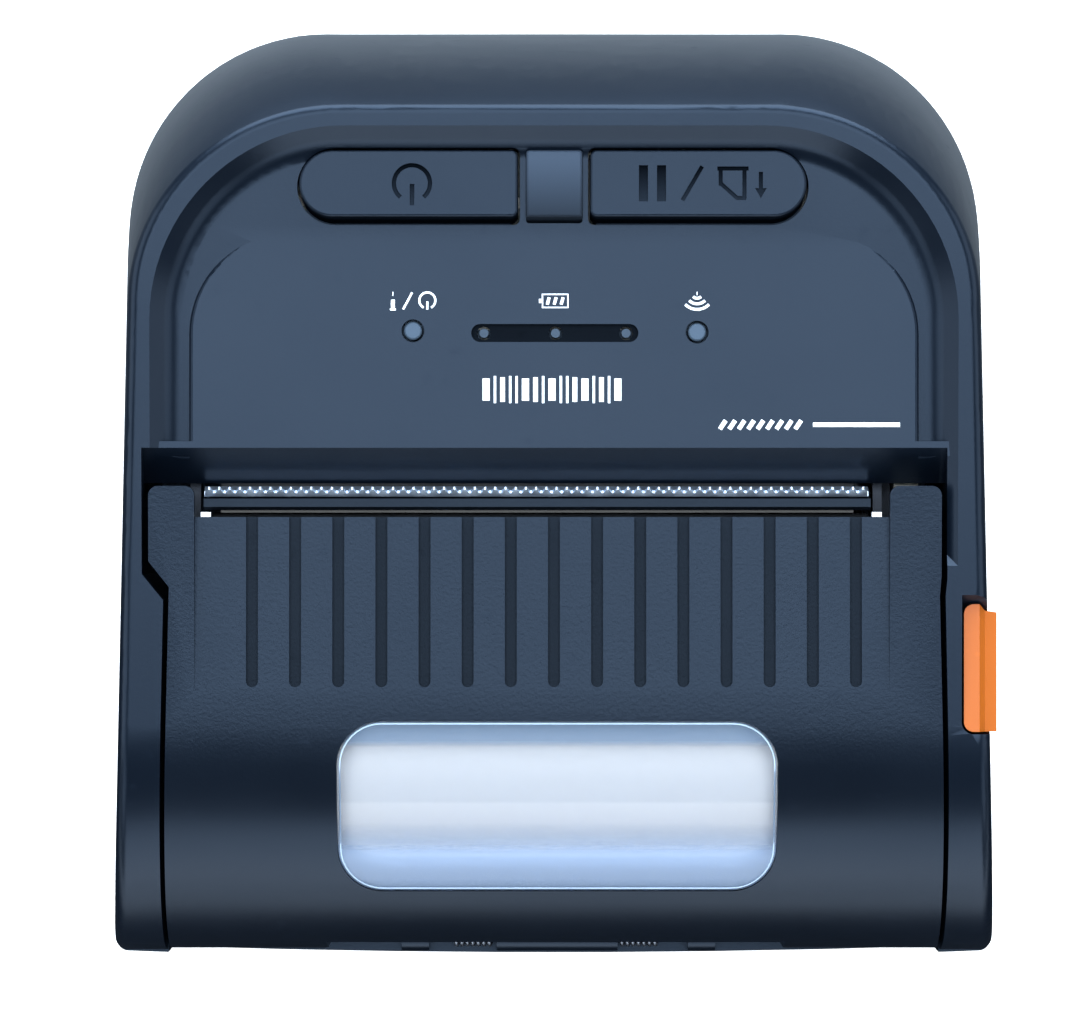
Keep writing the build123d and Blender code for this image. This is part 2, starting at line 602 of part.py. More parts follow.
# the idler lies straight under the platen gear, against the way in which the cover opens
opening = hypot(PLATEN_Y - HINGE_Y, PLATEN_Z - HINGE_Z)
away_y = (PLATEN_Z - HINGE_Z) / opening
away_z = -(PLATEN_Y - HINGE_Y) / opening
first_distance = GEAR_MODULE * (PLATEN_TEETH + IDLER_TEETH) / 2 + GEAR_PLAY
idler_centre = (PLATEN_Y + away_y * first_distance, PLATEN_Z + away_z * first_distance)
second_distance = GEAR_MODULE * (IDLER_TEETH + PINION_TEETH) / 2 + GEAR_PLAY
pinion_angle = -70.0
motor_centre = (
    idler_centre[0] + second_distance * cos(radians(pinion_angle)),
    idler_centre[1] + second_distance * sin(radians(pinion_angle)),
)
mesh_angle = degrees(atan2(away_z, away_y))
idler_turn = mesh_angle + 180 + 180 / IDLER_TEETH
idler_step = 360 / IDLER_TEETH
idler_offset = (idler_turn - pinion_angle) - idler_step * round((idler_turn - pinion_angle) / idler_step)
pinion_turn = pinion_angle + 180 - idler_offset * IDLER_TEETH / PINION_TEETH + 180 / PINION_TEETH

with BuildPart() as platen_gear:
    add(gear(PLATEN_TEETH, SHAFT_R + 0.01, (PLATEN_Y, PLATEN_Z), mesh_angle))
platen_gear.part.label = "platen_gear"
export_step(platen_gear.part, "parts/platen_gear.step")

with BuildPart() as idler_gear:
    add(gear(IDLER_TEETH, 1.55, idler_centre, idler_turn))
    with Locations(Location((GEAR_X[0] - 0.1, *idler_centre), (0, 90, 0))):
        with PolarLocations(4.2, 6):
            Cylinder(1.1, 12, mode=Mode.SUBTRACT)
idler_gear.part.label = "idler_gear"
export_step(idler_gear.part, "parts/idler_gear.step")

with BuildPart() as motor_pinion:
    add(gear(PINION_TEETH, 1.0, motor_centre, pinion_turn))
    add(rod((38.7, GEAR_X[1] + 0.6), *motor_centre, 1.0))
motor_pinion.part.label = "motor_pinion"
export_step(motor_pinion.part, "parts/motor_pinion.step")

with BuildPart() as idler_stud:
    add(rod((41.6, GEAR_X[1] + 0.7), *idler_centre, 1.5))
    add(rod((GEAR_X[1] + 0.1, GEAR_X[1] + 0.7), *idler_centre, 2.4))
idler_stud.part.label = "idler_stud"
export_step(idler_stud.part, "parts/idler_stud.step")

with BuildPart() as gear_plate:
    plate_view = [(-8.5, 12), (12, 12), (12, 29), (6.5, 31), (5.5, 36.5), (-6, 36.5), (-8.5, 34)]
    add(prism(plate_view, (40.6, 41.6)))
    add(rod((40, 42), *motor_centre, 3.4), mode=Mode.SUBTRACT)
gear_plate.part.label = "gear_plate"
export_step(gear_plate.part, "parts/gear_plate.step")

with BuildPart() as paper_feed_motor:
    add(rod((18.0, 38.6), *motor_centre, 7.5))
    fillet(paper_feed_motor.edges().filter_by(GeomType.CIRCLE), 0.8)
    add(rod((38.6, 40.5), *motor_centre, 3.0, 1.1))
    motor_y, motor_z = motor_centre
    add(block((24, 33), (motor_y + 5, motor_y + 9.5), (motor_z - 3, motor_z + 3)))
paper_feed_motor.part.label = "paper_feed_motor"
export_step(paper_feed_motor.part, "parts/paper_feed_motor.step")

# ---------------------------------------------------------------- print head
head_x = (MEDIA_X[0] + 2, MEDIA_X[1] - 2)
with BuildPart() as thermal_head:
    add(block(head_x, (HEAD_FACE_Y, HEAD_FACE_Y + 0.8), (33.0, 43.4)))
thermal_head.part.label = "thermal_head"
export_step(thermal_head.part, "parts/thermal_head.step")

with BuildPart() as heat_sink:
    add(block(head_x, (HEAD_FACE_Y + 0.8, HEAD_FACE_Y + 3.9), (31.0, 43.0)))
    for index in range(5):
        fin_z = 32.2 + 2.2 * index
        add(block(head_x, (HEAD_FACE_Y + 2.4, HEAD_FACE_Y + 5), (fin_z, fin_z + 1.1)), mode=Mode.SUBTRACT)
heat_sink.part.label = "heat_sink"
export_step(heat_sink.part, "parts/heat_sink.step")

bracket_y = (6.0, 7.2)
with BuildPart() as head_springs:
    for spring_x in (-22.0, 18.0):
        with BuildSketch(Plane.XZ.offset(-HEAD_FACE_Y - 3.95)):
            with Locations((spring_x, 38.0)):
                Circle(2.0)
                Circle(1.4, mode=Mode.SUBTRACT)
        extrude(amount=-(bracket_y[0] - HEAD_FACE_Y - 4.0))
head_springs.part.label = "head_springs"
export_step(head_springs.part, "parts/head_springs.step")

with BuildPart() as head_bracket:
    add(block((MEDIA_X[0] + 1, MEDIA_X[1] - 1), bracket_y, (30, 43.4)))
    add(block((MEDIA_X[0] + 1, MEDIA_X[1] - 1), (bracket_y[0], 12.5), (30, 31.2)))
    with Locations((-30, 6.6, 37), (-12, 6.6, 37), (8, 6.6, 37), (28, 6.6, 37)):
        Box(8, 4, 6, mode=Mode.SUBTRACT)
head_bracket.part.label = "head_bracket"
export_step(head_bracket.part, "parts/head_bracket.step")

with BuildPart() as paper_guide:
    guide_lip = [(-2.0, 44.4), (-2.0, 45.6), (-1.6, 46.1), (-0.6, 46.1)]
    guide_view = [*guide_lip, (0.0, 44.8), (0.9, 44.2), (0.9, 43.9)]
    add(prism(guide_view, MEDIA_X))
    fillet(paper_guide.edges().filter_by(Axis.Z).sort_by(Axis.X)[-1:], 0.8)
paper_guide.part.label = "paper_guide"
export_step(paper_guide.part, "parts/paper_guide.step")

# tear bar: a folded strip whose teeth point up and to the rear
tooth_count = round((TEAR_BAR_X[1] - TEAR_BAR_X[0]) / TOOTH_PITCH)
with BuildPart() as tear_bar:
    bar_plane = Plane(origin=(TEAR_BAR_X[0], -0.35, 46.3), x_dir=(1, 0, 0), z_dir=(0, -0.82, 0.57))
    bar_points = [(0, 0)]
    for index in range(tooth_count):
        bar_points.append(((index + 0.1) * TOOTH_PITCH, 0.75))
        bar_points.append(((index + 0.42) * TOOTH_PITCH, 1.5))
        bar_points.append(((index + 0.58) * TOOTH_PITCH, 1.5))
        bar_points.append(((index + 0.9) * TOOTH_PITCH, 0.75))
    bar_points.append((tooth_count * TOOTH_PITCH, 0))
    with BuildSketch(bar_plane):
        Polygon(*bar_points, align=None)
    extrude(amount=-0.4)
    fold_view = [(-0.3, 46.35), (0.3, 46.35), (0.3, 46.0), (0.9, 44.9), (0.5, 44.75), (-0.2, 45.9)]
    add(prism(fold_view, TEAR_BAR_X))
tear_bar.part.label = "tear_bar"
export_step(tear_bar.part, "parts/tear_bar.step")

# ---------------------------------------------------------------- media roll, tray and sensor
with BuildPart() as media_tray:
    add(rod((MEDIA_X[0] - 0.4 - TRAY_WALL, MEDIA_X[1] + 0.4 + TRAY_WALL), TRAY_Y, TRAY_Z, TRAY_R + TRAY_WALL))
    add(rod((MEDIA_X[0] - 0.4, MEDIA_X[1] + 0.4), TRAY_Y, TRAY_Z, TRAY_R), mode=Mode.SUBTRACT)
    add(block((-60, 60), (-60, 0), (TRAY_TOP, 60)), mode=Mode.SUBTRACT)
    extrude(side_profile(COVER_GAP + COVER_WALL + 2, 0), amount=REACH, both=True, mode=Mode.INTERSECT)
    add(block((MEDIA_X[0] - 0.4, MEDIA_X[1] + 0.4), (-60, -45), (TRAY_FRONT_TOP, 60)), mode=Mode.SUBTRACT)
    for wall_x in (MEDIA_X[0] - 0.4 - TRAY_WALL, MEDIA_X[1] + 0.4):
        add(rod((wall_x - 0.5, wall_x + 2), TRAY_Y, TRAY_TOP + 2, 9), mode=Mode.SUBTRACT)
media_tray.part.label = "media_tray"
export_step(media_tray.part, "parts/media_tray.step")

with BuildPart() as label_roll:
    add(rod(ROLL_X, ROLL_Y, ROLL_Z, ROLL_R, CORE_R + 0.02))
label_roll.part.label = "label_roll"
export_step(label_roll.part, "parts/label_roll.step")

with BuildPart() as roll_core:
    add(rod(ROLL_X, ROLL_Y, ROLL_Z, CORE_R, 6.0))
roll_core.part.label = "roll_core"
export_step(roll_core.part, "parts/roll_core.step")

with BuildPart() as gap_sensor:
    add(block((-9, -1), (-8.4, -6.2), (28, 33)))
    add(block((-7, -3), (-8.8, -8.4), (29.4, 31.6)))
gap_sensor.part.label = "gap_sensor"
export_step(gap_sensor.part, "parts/gap_sensor.step")

# ---------------------------------------------------------------- latch and release lever
with BuildPart() as latch_shaft:
    add(rod((-46.5, 50.8), LATCH_Y, LATCH_Z, LATCH_R))
latch_shaft.part.label = "latch_shaft"
export_step(latch_shaft.part, "parts/latch_shaft.step")

hook_foot = [(2.0, 40.6), (7.5, 33.5), (11.5, 31.5), (12.5, 35.5)]
hook_view = [(3.0, 42.4), (-3.6, 43.1), (-4.3, 42.3), (-3.6, 41.7), *hook_foot]
with BuildPart() as latch_hooks:
    for hook_x in ((-44.7, -43.4), (39.2, 40.3)):
        add(prism(hook_view, hook_x))
        add(rod(hook_x, LATCH_Y, LATCH_Z, 3.2))
        add(rod(hook_x, LATCH_Y, LATCH_Z, LATCH_R + 0.01), mode=Mode.SUBTRACT)
latch_hooks.part.label = "latch_hooks"
export_step(latch_hooks.part, "parts/latch_hooks.step")

with BuildPart() as release_lever:
    # pad: a flat inner top, a steep step and a lower rounded outer edge
    with BuildSketch(Plane.XZ.offset(-LEVER_Y[1])) as pad_view:
        pad_step = [(LEVER_X[0], LEVER_TOP), (52.0, LEVER_TOP), (52.75, 47.0), (LEVER_X[1], 46.6)]
        Polygon((LEVER_X[0], LEVER_BOTTOM), *pad_step, (LEVER_X[1] + 0.1, LEVER_BOTTOM), align=None)
        fillet(pad_view.vertices().sort_by(Axis.X)[-2:].sort_by(Axis.Z)[-1], 0.8)
    extrude(amount=LEVER_Y[1] - LEVER_Y[0])
    fillet(release_lever.edges().filter_by(Axis.Z), LEVER_CORNER)
    # rear end round the latch shaft
    add(rod((40, 60), LATCH_Y, LATCH_Z, LEVER_SWEEP), mode=Mode.SUBTRACT)
    # arm that runs back inside the side arm to the latch shaft
    add(prism([(-20, 37), (-20, 41), (4, 38.6), (12.5, 36.5), (12.5, 31.5), (7.5, 31.5)], (49.95, 50.75)))
    add(rod((49, 52), LATCH_Y, LATCH_Z, LATCH_R + 0.01), mode=Mode.SUBTRACT)
release_lever.part.label = "release_lever"
export_step(release_lever.part, "parts/release_lever.step")

with BuildPart() as lever_spring:
    add(coil_sleeve((30.0, 34.4), LATCH_Y, LATCH_Z, LATCH_R + 0.15, 0.7, 5))
lever_spring.part.label = "lever_spring"
export_step(lever_spring.part, "parts/lever_spring.step")

# ---------------------------------------------------------------- keys and lights


def key_solid(x_range, round_end):
    """Key with a leaning front wall, a retaining flange and a stem for its switch."""
    with BuildPart() as key:
        with BuildSketch(Plane.XY.offset(47.4)):
            add(key_outline(x_range, (KEY_Y[0] - KEY_LEAN, KEY_Y[1]), round_end))
        with BuildSketch(Plane.XY.offset(KEY_Z)):
            add(key_outline(x_range, KEY_Y, round_end))
        loft(ruled=True)
        fillet(key.faces().sort_by(Axis.Z)[-1].edges(), 0.35)
        flange_x = (x_range[0] + 0.8, x_range[1] - 0.8)
        add(block(flange_x, (KEY_Y[0] - 1.4, KEY_Y[1] + 0.2), (46.4, 47.5)))
        middle = (x_range[0] + x_range[1]) / 2
        add(block((middle - 1.5, middle + 1.5), (36.3, 39.3), (45.85, 46.5)))
    return key.part


with BuildPart() as power_button:
    add(key_solid(POWER_X, 0))
    # engraved stand-by mark: a ring open at the front, and a bar in the opening
    with BuildSketch(Plane.XY.offset(KEY_Z - MARK_DEPTH)):
        with BuildLine():
            CenterArc((-17.3, 37.8), 2.2, -50, 280)
            Line((-17.3, 37.7), (-17.3, 35.1))
        trace(line_width=0.5)
    extrude(amount=1, mode=Mode.SUBTRACT)
power_button.part.label = "power_button"
export_step(power_button.part, "parts/power_button.step")

with BuildPart() as feed_button:
    add(key_solid(FEED_X, 1))
    # engraved pause bars, a stroke, and a sheet with an arrow
    with BuildSketch(Plane.XY.offset(KEY_Z - MARK_DEPTH)):
        with Locations((10.9, 37.8), (13.1, 37.8)):
            Rectangle(1.1, 4.4)
        with Locations((16.85, 37.8)):
            Rectangle(0.5, 4.8, rotation=-30)
        with Locations((21.8, 39.6)):
            Rectangle(3.8, 0.5)
        with Locations((20.3, 38.5), (25.2, 38.2)):
            Rectangle(0.5, 2.0)
        with Locations((23.2, 37.8)):
            Rectangle(0.5, 3.6)
        with Locations((21.3, 36.9)):
            Rectangle(0.5, 2.6, rotation=48)
        with Locations((22.8, 36.0)):
            Rectangle(1.2, 0.5)
        with Locations((25.2, 36.8)):
            Triangle(a=1.4, b=1.4, c=1.4, rotation=180)
    extrude(amount=1, mode=Mode.SUBTRACT)
feed_button.part.label = "feed_button"
export_step(feed_button.part, "parts/feed_button.step")

with BuildPart() as centre_block:
    with BuildSketch(Plane.XY.offset(46.0)):
        add(block_outline(0))
    extrude(amount=KEY_Z - 46.0)
    front_lean = [(KEY_Y[0] - 2, 48.5), (KEY_Y[0] - KEY_LEAN, 48.5), (KEY_Y[0], KEY_Z), (KEY_Y[0], KEY_Z + 1),
                  (KEY_Y[0] - 2, KEY_Z + 1)]
    add(prism(front_lean, (BLOCK_X[0] - 1, BLOCK_X[1] + 1)), mode=Mode.SUBTRACT)
    fillet(centre_block.faces().sort_by(Axis.Z)[-1].edges(), 0.35)
centre_block.part.label = "centre_block"
export_step(centre_block.part, "parts/centre_block.step")

light_bottom = 44.3
light_names = ["status_light_guide", "wireless_light_guide"]
for light_name, (light_x, light_y) in zip(light_names, LIGHT_POINTS):
    with BuildPart() as light_guide:
        with Locations((light_x, light_y, light_bottom)):
            Cylinder(1.15, PANEL_Z - light_bottom - 0.2, align=(Align.CENTER, Align.CENTER, Align.MIN))
        fillet(light_guide.faces().sort_by(Axis.Z)[-1].edges(), 0.3)
        with Locations((light_x, light_y, light_bottom)):
            Cylinder(2.2, 0.8, align=(Align.CENTER, Align.CENTER, Align.MIN))
    light_guide.part.label = light_name
    export_step(light_guide.part, f"parts/{light_name}.step")

with BuildPart() as battery_light_guides:
    with Locations([(x, y, light_bottom) for x, y in BATTERY_LIGHTS]):
        Cylinder(0.55, PANEL_Z - light_bottom - 1.2, align=(Align.CENTER, Align.CENTER, Align.MIN))
battery_light_guides.part.label = "battery_light_guides"
export_step(battery_light_guides.part, "parts/battery_light_guides.step")

with BuildPart() as key_board:
    add(block((-34, 34), (15, 42), (KEY_BOARD_Z, KEY_BOARD_Z + 1.2)))
    with Locations([(x, y, KEY_BOARD_Z) for x in (-31, 31) for y in (18, 39)]):
        Cylinder(1.2, 6, mode=Mode.SUBTRACT)
key_board.part.label = "key_board"
export_step(key_board.part, "parts/key_board.step")

board_top = KEY_BOARD_Z + 1.2
with BuildPart() as key_switches:
    for switch_x in ((POWER_X[0] + POWER_X[1]) / 2, (FEED_X[0] + FEED_X[1]) / 2):
        add(block((switch_x - 2.2, switch_x + 2.2), (35.6, 40), (board_top, board_top + 1.1)))
        with Locations((switch_x, 37.8, board_top + 1.1)):
            Cylinder(1.1, 0.5, align=(Align.CENTER, Align.CENTER, Align.MIN))
key_switches.part.label = "key_switches"
export_step(key_switches.part, "parts/key_switches.step")

with BuildPart() as indicator_lights:
    for light_x, light_y in LIGHT_POINTS + BATTERY_LIGHTS:
        with Locations((light_x, light_y, board_top + 0.25)):
            Box(1.6, 1.0, 0.5)
indicator_lights.part.label = "indicator_lights"
export_step(indicator_lights.part, "parts/indicator_lights.step")

# ---------------------------------------------------------------- main board and sockets
with BuildPart() as main_board:
    add(block((-36, 36), (14, 51), (BOARD_Z, BOARD_Z + 1.6)))
    fillet(main_board.edges().filter_by(Axis.Z), 2)
    for chip_x, chip_y, chip_size in ((-18, 34, 12), (8, 38, 9), (24, 26, 7)):
        half = chip_size / 2
        chip_z = (BOARD_Z + 1.6, BOARD_Z + 2.8)
        add(block((chip_x - half, chip_x + half), (chip_y - half, chip_y + half), chip_z))
main_board.part.label = "main_board"
export_step(main_board.part, "parts/main_board.step")

with BuildPart() as usb_socket:
    add(block((-48.0, -41.0), (31.8, 38.4), (6.2, 10.4)))
    add(block((-50, -43.0), (32.4, 37.8), (6.8, 9.8)), mode=Mode.SUBTRACT)
    add(block((-47.6, -42.8), (33.6, 36.6), (8.0, 8.6)))
usb_socket.part.label = "usb_socket"
export_step(usb_socket.part, "parts/usb_socket.step")

with BuildPart() as power_socket:
    add(block((-48.0, -40.0), (23.2, 30.8), (5.2, 12.8)))
    add(rod((-50, -41.5), 27.0, 9.0, 2.9), mode=Mode.SUBTRACT)
    add(rod((-47.8, -41.0), 27.0, 9.0, 0.8))
power_socket.part.label = "power_socket"
export_step(power_socket.part, "parts/power_socket.step")

with BuildPart() as port_cover:
    flap_y = (PORT_Y[0] + 0.3, PORT_Y[1] - 0.3)
    add(casing_loft(0) & block((-60, -51.7), flap_y, (PORT_Z[0] + 0.3, PORT_Z[1] - 0.3)))
port_cover.part.label = "port_cover"
export_step(port_cover.part, "parts/port_cover.step")

# ---------------------------------------------------------------- battery
with BuildPart() as battery_pack:
    add(block((-PACK_X, PACK_X), PACK_Y, (0.3, PACK_TOP)))
    fillet(battery_pack.edges().filter_by(Axis.Z), 1.5)
    fillet(battery_pack.faces().sort_by(Axis.Z)[-1].edges(), 0.8)
    # finger groove in the underside
    with Locations((0, 46, 0.3)):
        Box(26, 5, 2.4, mode=Mode.SUBTRACT)
battery_pack.part.label = "battery_pack"
export_step(battery_pack.part, "parts/battery_pack.step")

with BuildPart() as battery_terminals:
    with Locations([(x, 22, PACK_TOP) for x in (-9, -3, 3, 9)]):
        Box(3.2, 5, 0.1, align=(Align.CENTER, Align.CENTER, Align.MIN))
battery_terminals.part.label = "battery_terminals"
export_step(battery_terminals.part, "parts/battery_terminals.step")

with BuildPart() as battery_contacts:
    contact_z = PACK_TOP + 0.15
    with Locations([(x, 22, contact_z) for x in (-9, -3, 3, 9)]):
        Cylinder(0.5, BOARD_Z - contact_z, align=(Align.CENTER, Align.CENTER, Align.MIN))
battery_contacts.part.label = "battery_contacts"
export_step(battery_contacts.part, "parts/battery_contacts.step")

with BuildPart() as battery_latch:
    add(block((-6.6, 6.6), (10.2, PACK_Y[0] - 0.5), (0.5, 4.4)))
    for rib_y in (11.2, 12.4, 13.6):
        add(block((-5, 5), (rib_y - 0.3, rib_y + 0.3), (0, 0.9)), mode=Mode.SUBTRACT)
battery_latch.part.label = "battery_latch"
export_step(battery_latch.part, "parts/battery_latch.step")

# ---------------------------------------------------------------- fasteners, inserts and plate
with BuildPart() as casing_screws:
    with Locations([(x, y, 1.3) for x, y in SCREW_POINTS]):
        Cylinder(2.4, 2.1, align=(Align.CENTER, Align.CENTER, Align.MIN))
        Cylinder(1.25, 22, align=(Align.CENTER, Align.CENTER, Align.MIN))
        Box(2.6, 0.5, 1.4, mode=Mode.SUBTRACT)
        Box(0.5, 2.6, 1.4, mode=Mode.SUBTRACT)
casing_screws.part.label = "casing_screws"
export_step(casing_screws.part, "parts/casing_screws.step")

with BuildPart() as base_inserts:
    with Locations([(x, y, 0.2) for x, y in INSERT_POINTS]):
        Cylinder(2.6, 5.8, align=(Align.CENTER, Align.CENTER, Align.MIN))
        Cylinder(INSERT_BORE_R, 20, mode=Mode.SUBTRACT)
base_inserts.part.label = "base_inserts"
export_step(base_inserts.part, "parts/base_inserts.step")

with BuildPart() as rating_plate:
    add(block((-24.5, 24.5), (-45.5, -14.5), (0.2, 0.4)))
rating_plate.part.label = "rating_plate"
export_step(rating_plate.part, "parts/rating_plate.step")
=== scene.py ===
import json
from math import cos, radians, sin, tau

import bpy
from mathutils import Matrix, Vector

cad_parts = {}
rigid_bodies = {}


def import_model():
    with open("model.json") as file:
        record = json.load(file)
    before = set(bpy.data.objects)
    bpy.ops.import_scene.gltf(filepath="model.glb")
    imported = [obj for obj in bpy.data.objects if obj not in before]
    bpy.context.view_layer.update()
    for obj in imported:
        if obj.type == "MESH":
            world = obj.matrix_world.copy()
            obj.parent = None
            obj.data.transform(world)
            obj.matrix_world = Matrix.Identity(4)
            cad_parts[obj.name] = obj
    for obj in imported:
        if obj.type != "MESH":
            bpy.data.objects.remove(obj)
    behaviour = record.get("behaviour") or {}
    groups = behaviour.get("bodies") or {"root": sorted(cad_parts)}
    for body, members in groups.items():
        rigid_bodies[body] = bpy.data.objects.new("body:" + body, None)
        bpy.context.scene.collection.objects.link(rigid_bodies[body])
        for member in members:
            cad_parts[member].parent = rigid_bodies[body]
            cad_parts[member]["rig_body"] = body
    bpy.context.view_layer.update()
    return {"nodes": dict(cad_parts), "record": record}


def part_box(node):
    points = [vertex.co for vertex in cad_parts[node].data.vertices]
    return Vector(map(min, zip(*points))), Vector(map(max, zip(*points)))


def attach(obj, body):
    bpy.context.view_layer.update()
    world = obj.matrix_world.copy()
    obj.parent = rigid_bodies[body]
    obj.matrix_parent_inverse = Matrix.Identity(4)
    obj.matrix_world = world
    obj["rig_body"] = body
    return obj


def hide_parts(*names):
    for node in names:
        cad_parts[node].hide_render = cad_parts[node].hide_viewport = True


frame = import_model()

# A portable label printer on its base: X to the right, Y to the rear, Z up, in metres.
MM = 0.001

# Camera: nearly straight above the printer
CAMERA_HEIGHT = 0.900
CAMERA_X = -1.46 * MM
CAMERA_Y = -2.48 * MM
CAMERA_LENS = 231.5

# Places taken from the frame
status_low, status_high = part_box("status_light_guide")
wireless_low, wireless_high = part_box("wireless_light_guide")
status_centre = (status_low + status_high) / 2
wireless_centre = (wireless_low + wireless_high) / 2
panel_z = status_high.z + 0.2 * MM
pin_low, pin_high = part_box("hinge_pin")
hinge_centre = (pin_low + pin_high) / 2
spring_low, spring_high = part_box("hinge_springs")
lever_spring_low, lever_spring_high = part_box("lever_spring")
roll_low, roll_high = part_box("label_roll")
roll_centre = (roll_low + roll_high) / 2
cover_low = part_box("media_cover")[0]
key_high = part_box("feed_button")[1]
block_low, block_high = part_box("centre_block")


# ---------------------------------------------------------------- materials
class Wire:
    """A value on its way through a material. Arithmetic on it adds Math nodes."""

    def __init__(self, finish, socket):
        self.finish = finish
        self.socket = socket

    def math(self, operation, first, second=0.0):
        return self.finish.node("ShaderNodeMath", {"operation": operation}, {0: first, 1: second})

    def __add__(self, other):
        return self.math("ADD", self, other)

    def __radd__(self, other):
        return self.math("ADD", other, self)

    def __sub__(self, other):
        return self.math("SUBTRACT", self, other)

    def __rsub__(self, other):
        return self.math("SUBTRACT", other, self)

    def __mul__(self, other):
        return self.math("MULTIPLY", self, other)

    def __rmul__(self, other):
        return self.math("MULTIPLY", other, self)

    def __truediv__(self, other):
        return self.math("DIVIDE", self, other)

class Finish:
    """A material with one Principled shader, and short ways to add nodes in front of it."""

    def __init__(self, name, color, roughness, **constants):
        self.material = bpy.data.materials.new(name)
        self.material.use_nodes = True
        self.tree = self.material.node_tree
        self.shader = self.tree.nodes["Principled BSDF"]
        self.color = color
        self.roughness = roughness
        self.shader.inputs["Base Color"].default_value = (*color, 1)
        self.shader.inputs["Roughness"].default_value = roughness
        for socket_name, value in constants.items():
            self.shader.inputs[socket_name.replace("_", " ").title()].default_value = value

    def feed(self, socket, value):
        if isinstance(value, Wire):
            self.tree.links.new(value.socket, socket)
        else:
            socket.default_value = value

    def node(self, kind, settings=None, inputs=None, output=0):
        """Adds a node: its settings first, then the values or wires of its sockets."""
        made = self.tree.nodes.new(kind)
        for key, value in (settings or {}).items():
            if key == "stops":
                ramp = made.color_ramp.elements
                for index, (position, grey) in enumerate(value):
                    stop = ramp[index] if index < 2 else ramp.new(position)
                    stop.position = position
                    stop.color = (grey, grey, grey, 1)
            else:
                setattr(made, key, value)
        for key, value in (inputs or {}).items():
            self.feed(made.inputs[key], value)
        return Wire(self, made.outputs[output])

    def place(self):
        return self.node("ShaderNodeTexCoord", output="Object")

    def axis(self, name):
        return self.node("ShaderNodeSeparateXYZ", inputs={0: self.place()}, output=name)

    def noise(self, scale, detail=2.0, rough=0.5, vector=None):
        inputs = {"Vector": vector or self.place(), "Scale": scale, "Detail": detail, "Roughness": rough}
        return self.node("ShaderNodeTexNoise", inputs=inputs, output="Fac")

    def stretched(self, x, y, z):
        """Object coordinates stretched along the axes, for brushed and drawn surfaces."""
        return self.node("ShaderNodeMapping", inputs={"Vector": self.place(), "Scale": (x, y, z)})

    def ramp(self, value, *stops):
        return self.node("ShaderNodeValToRGB", {"stops": stops}, {0: value})

    def blend(self, factor, first, second):
        """Colour that goes from the first to the second with the factor."""
        inputs = {0: factor, 6: self.full(first), 7: self.full(second)}
        return self.node("ShaderNodeMix", {"data_type": "RGBA"}, inputs, output=2)

    def full(self, color):
        return color if isinstance(color, Wire) else (*color, 1)

    def bump(self, height, depth, strength=1.0):
        inputs = {"Height": height, "Distance": depth, "Strength": strength}
        return self.node("ShaderNodeBump", inputs=inputs, output="Normal")

    def use(self, color=None, roughness=None, normal=None, metallic=None):
        for name, value in (("Base Color", color), ("Roughness", roughness), ("Normal", normal),
                            ("Metallic", metallic)):
            if value is not None:
                self.feed(self.shader.inputs[name], value)
        return self


def shade(color, factor):
    return tuple(channel * factor for channel in color)


SHEEN_TINT = (0.48, 0.67, 0.98, 1)
SHEEN = 0.26


def moulded(name, color, roughness, grain, depth, clouding=0.14, fade=None, painted_shade_wire=None, shade_sheen_cut=0.0):
    """Moulded plastic: spark-eroded grain, faint clouding and a little uneven gloss.
    fade gives two Y positions between which the grain goes from none to full.
    sunk gives a wire that is 1 where shade is painted, in hollows or on the shaded side of a part: there the
    colour is darker and rougher, and the more metallic the last argument makes it, the less sheen is left."""
    finish = Finish(name, color, roughness, specular_tint=SHEEN_TINT)
    finish.shader.inputs["Specular IOR Level"].default_value = SHEEN
    cloud = finish.noise(38.0, 3.0, 0.55)
    grain_height = finish.noise(grain, 3.0, 0.6)
    dust = finish.ramp(finish.noise(grain * 0.21, 2.0, 0.5), (0.66, 0.0), (0.78, 1.0))
    coarse = 0.0
    if fade:
        coarse = span(finish, "Y", *fade)
        grain_height = grain_height * (coarse * 0.85 + 0.15)
    tone = finish.blend(cloud, shade(color, 1 - clouding), shade(color, 1 + clouding))
    tone = finish.blend(dust * 0.18, tone, shade(color, 1.9))
    rough = cloud * 0.10 + (roughness - 0.05) + dust * 0.05 + coarse * 0.07
    # painted shade: darker, rougher and, as near-black metal, without sheen
    if painted_shade_wire:
        low = painted_shade_wire(finish)
        tone = finish.blend(low, tone, shade(color, 0.25))
        rough = rough + low * 0.22
        finish.use(metallic=low * shade_sheen_cut)
    return finish.use(tone, rough, finish.bump(grain_height, depth))


def span(finish, axis, start, end):
    """Goes from 0 to 1 as the coordinate goes from start to end."""
    return finish.node("ShaderNodeMapRange", {"clamp": True},
                       {"Value": finish.axis(axis), "From Min": start, "From Max": end})


def metal(name, color, roughness, stretch, depth=0.00001):
    """Metal with lines along the axis whose stretch is small."""
    finish = Finish(name, color, roughness, metallic=1.0)
    lines = finish.noise(1.0, 3.0, 0.6, finish.stretched(*stretch))
    stain = finish.noise(160.0, 3.0, 0.6)
    tone = finish.blend(lines, shade(color, 0.78), shade(color, 1.15))
    tone = finish.blend(stain * 0.25, tone, shade(color, 0.55))
    return finish.use(tone, lines * 0.18 + stain * 0.10 + (roughness - 0.12), finish.bump(lines, depth))


INK = (0.0020, 0.0039, 0.0080)


def engraving_shade_mask(finish):
    """Painted shade in the engraved marks of the keys: 1 at their rear, less so towards the front."""
    deep = span(finish, "Z", key_high.z - 0.12 * MM, key_high.z - 0.34 * MM)
    return deep * (span(finish, "Y", key_high.y - 7.0 * MM, key_high.y - 2.2 * MM) * 0.6 + 0.4)


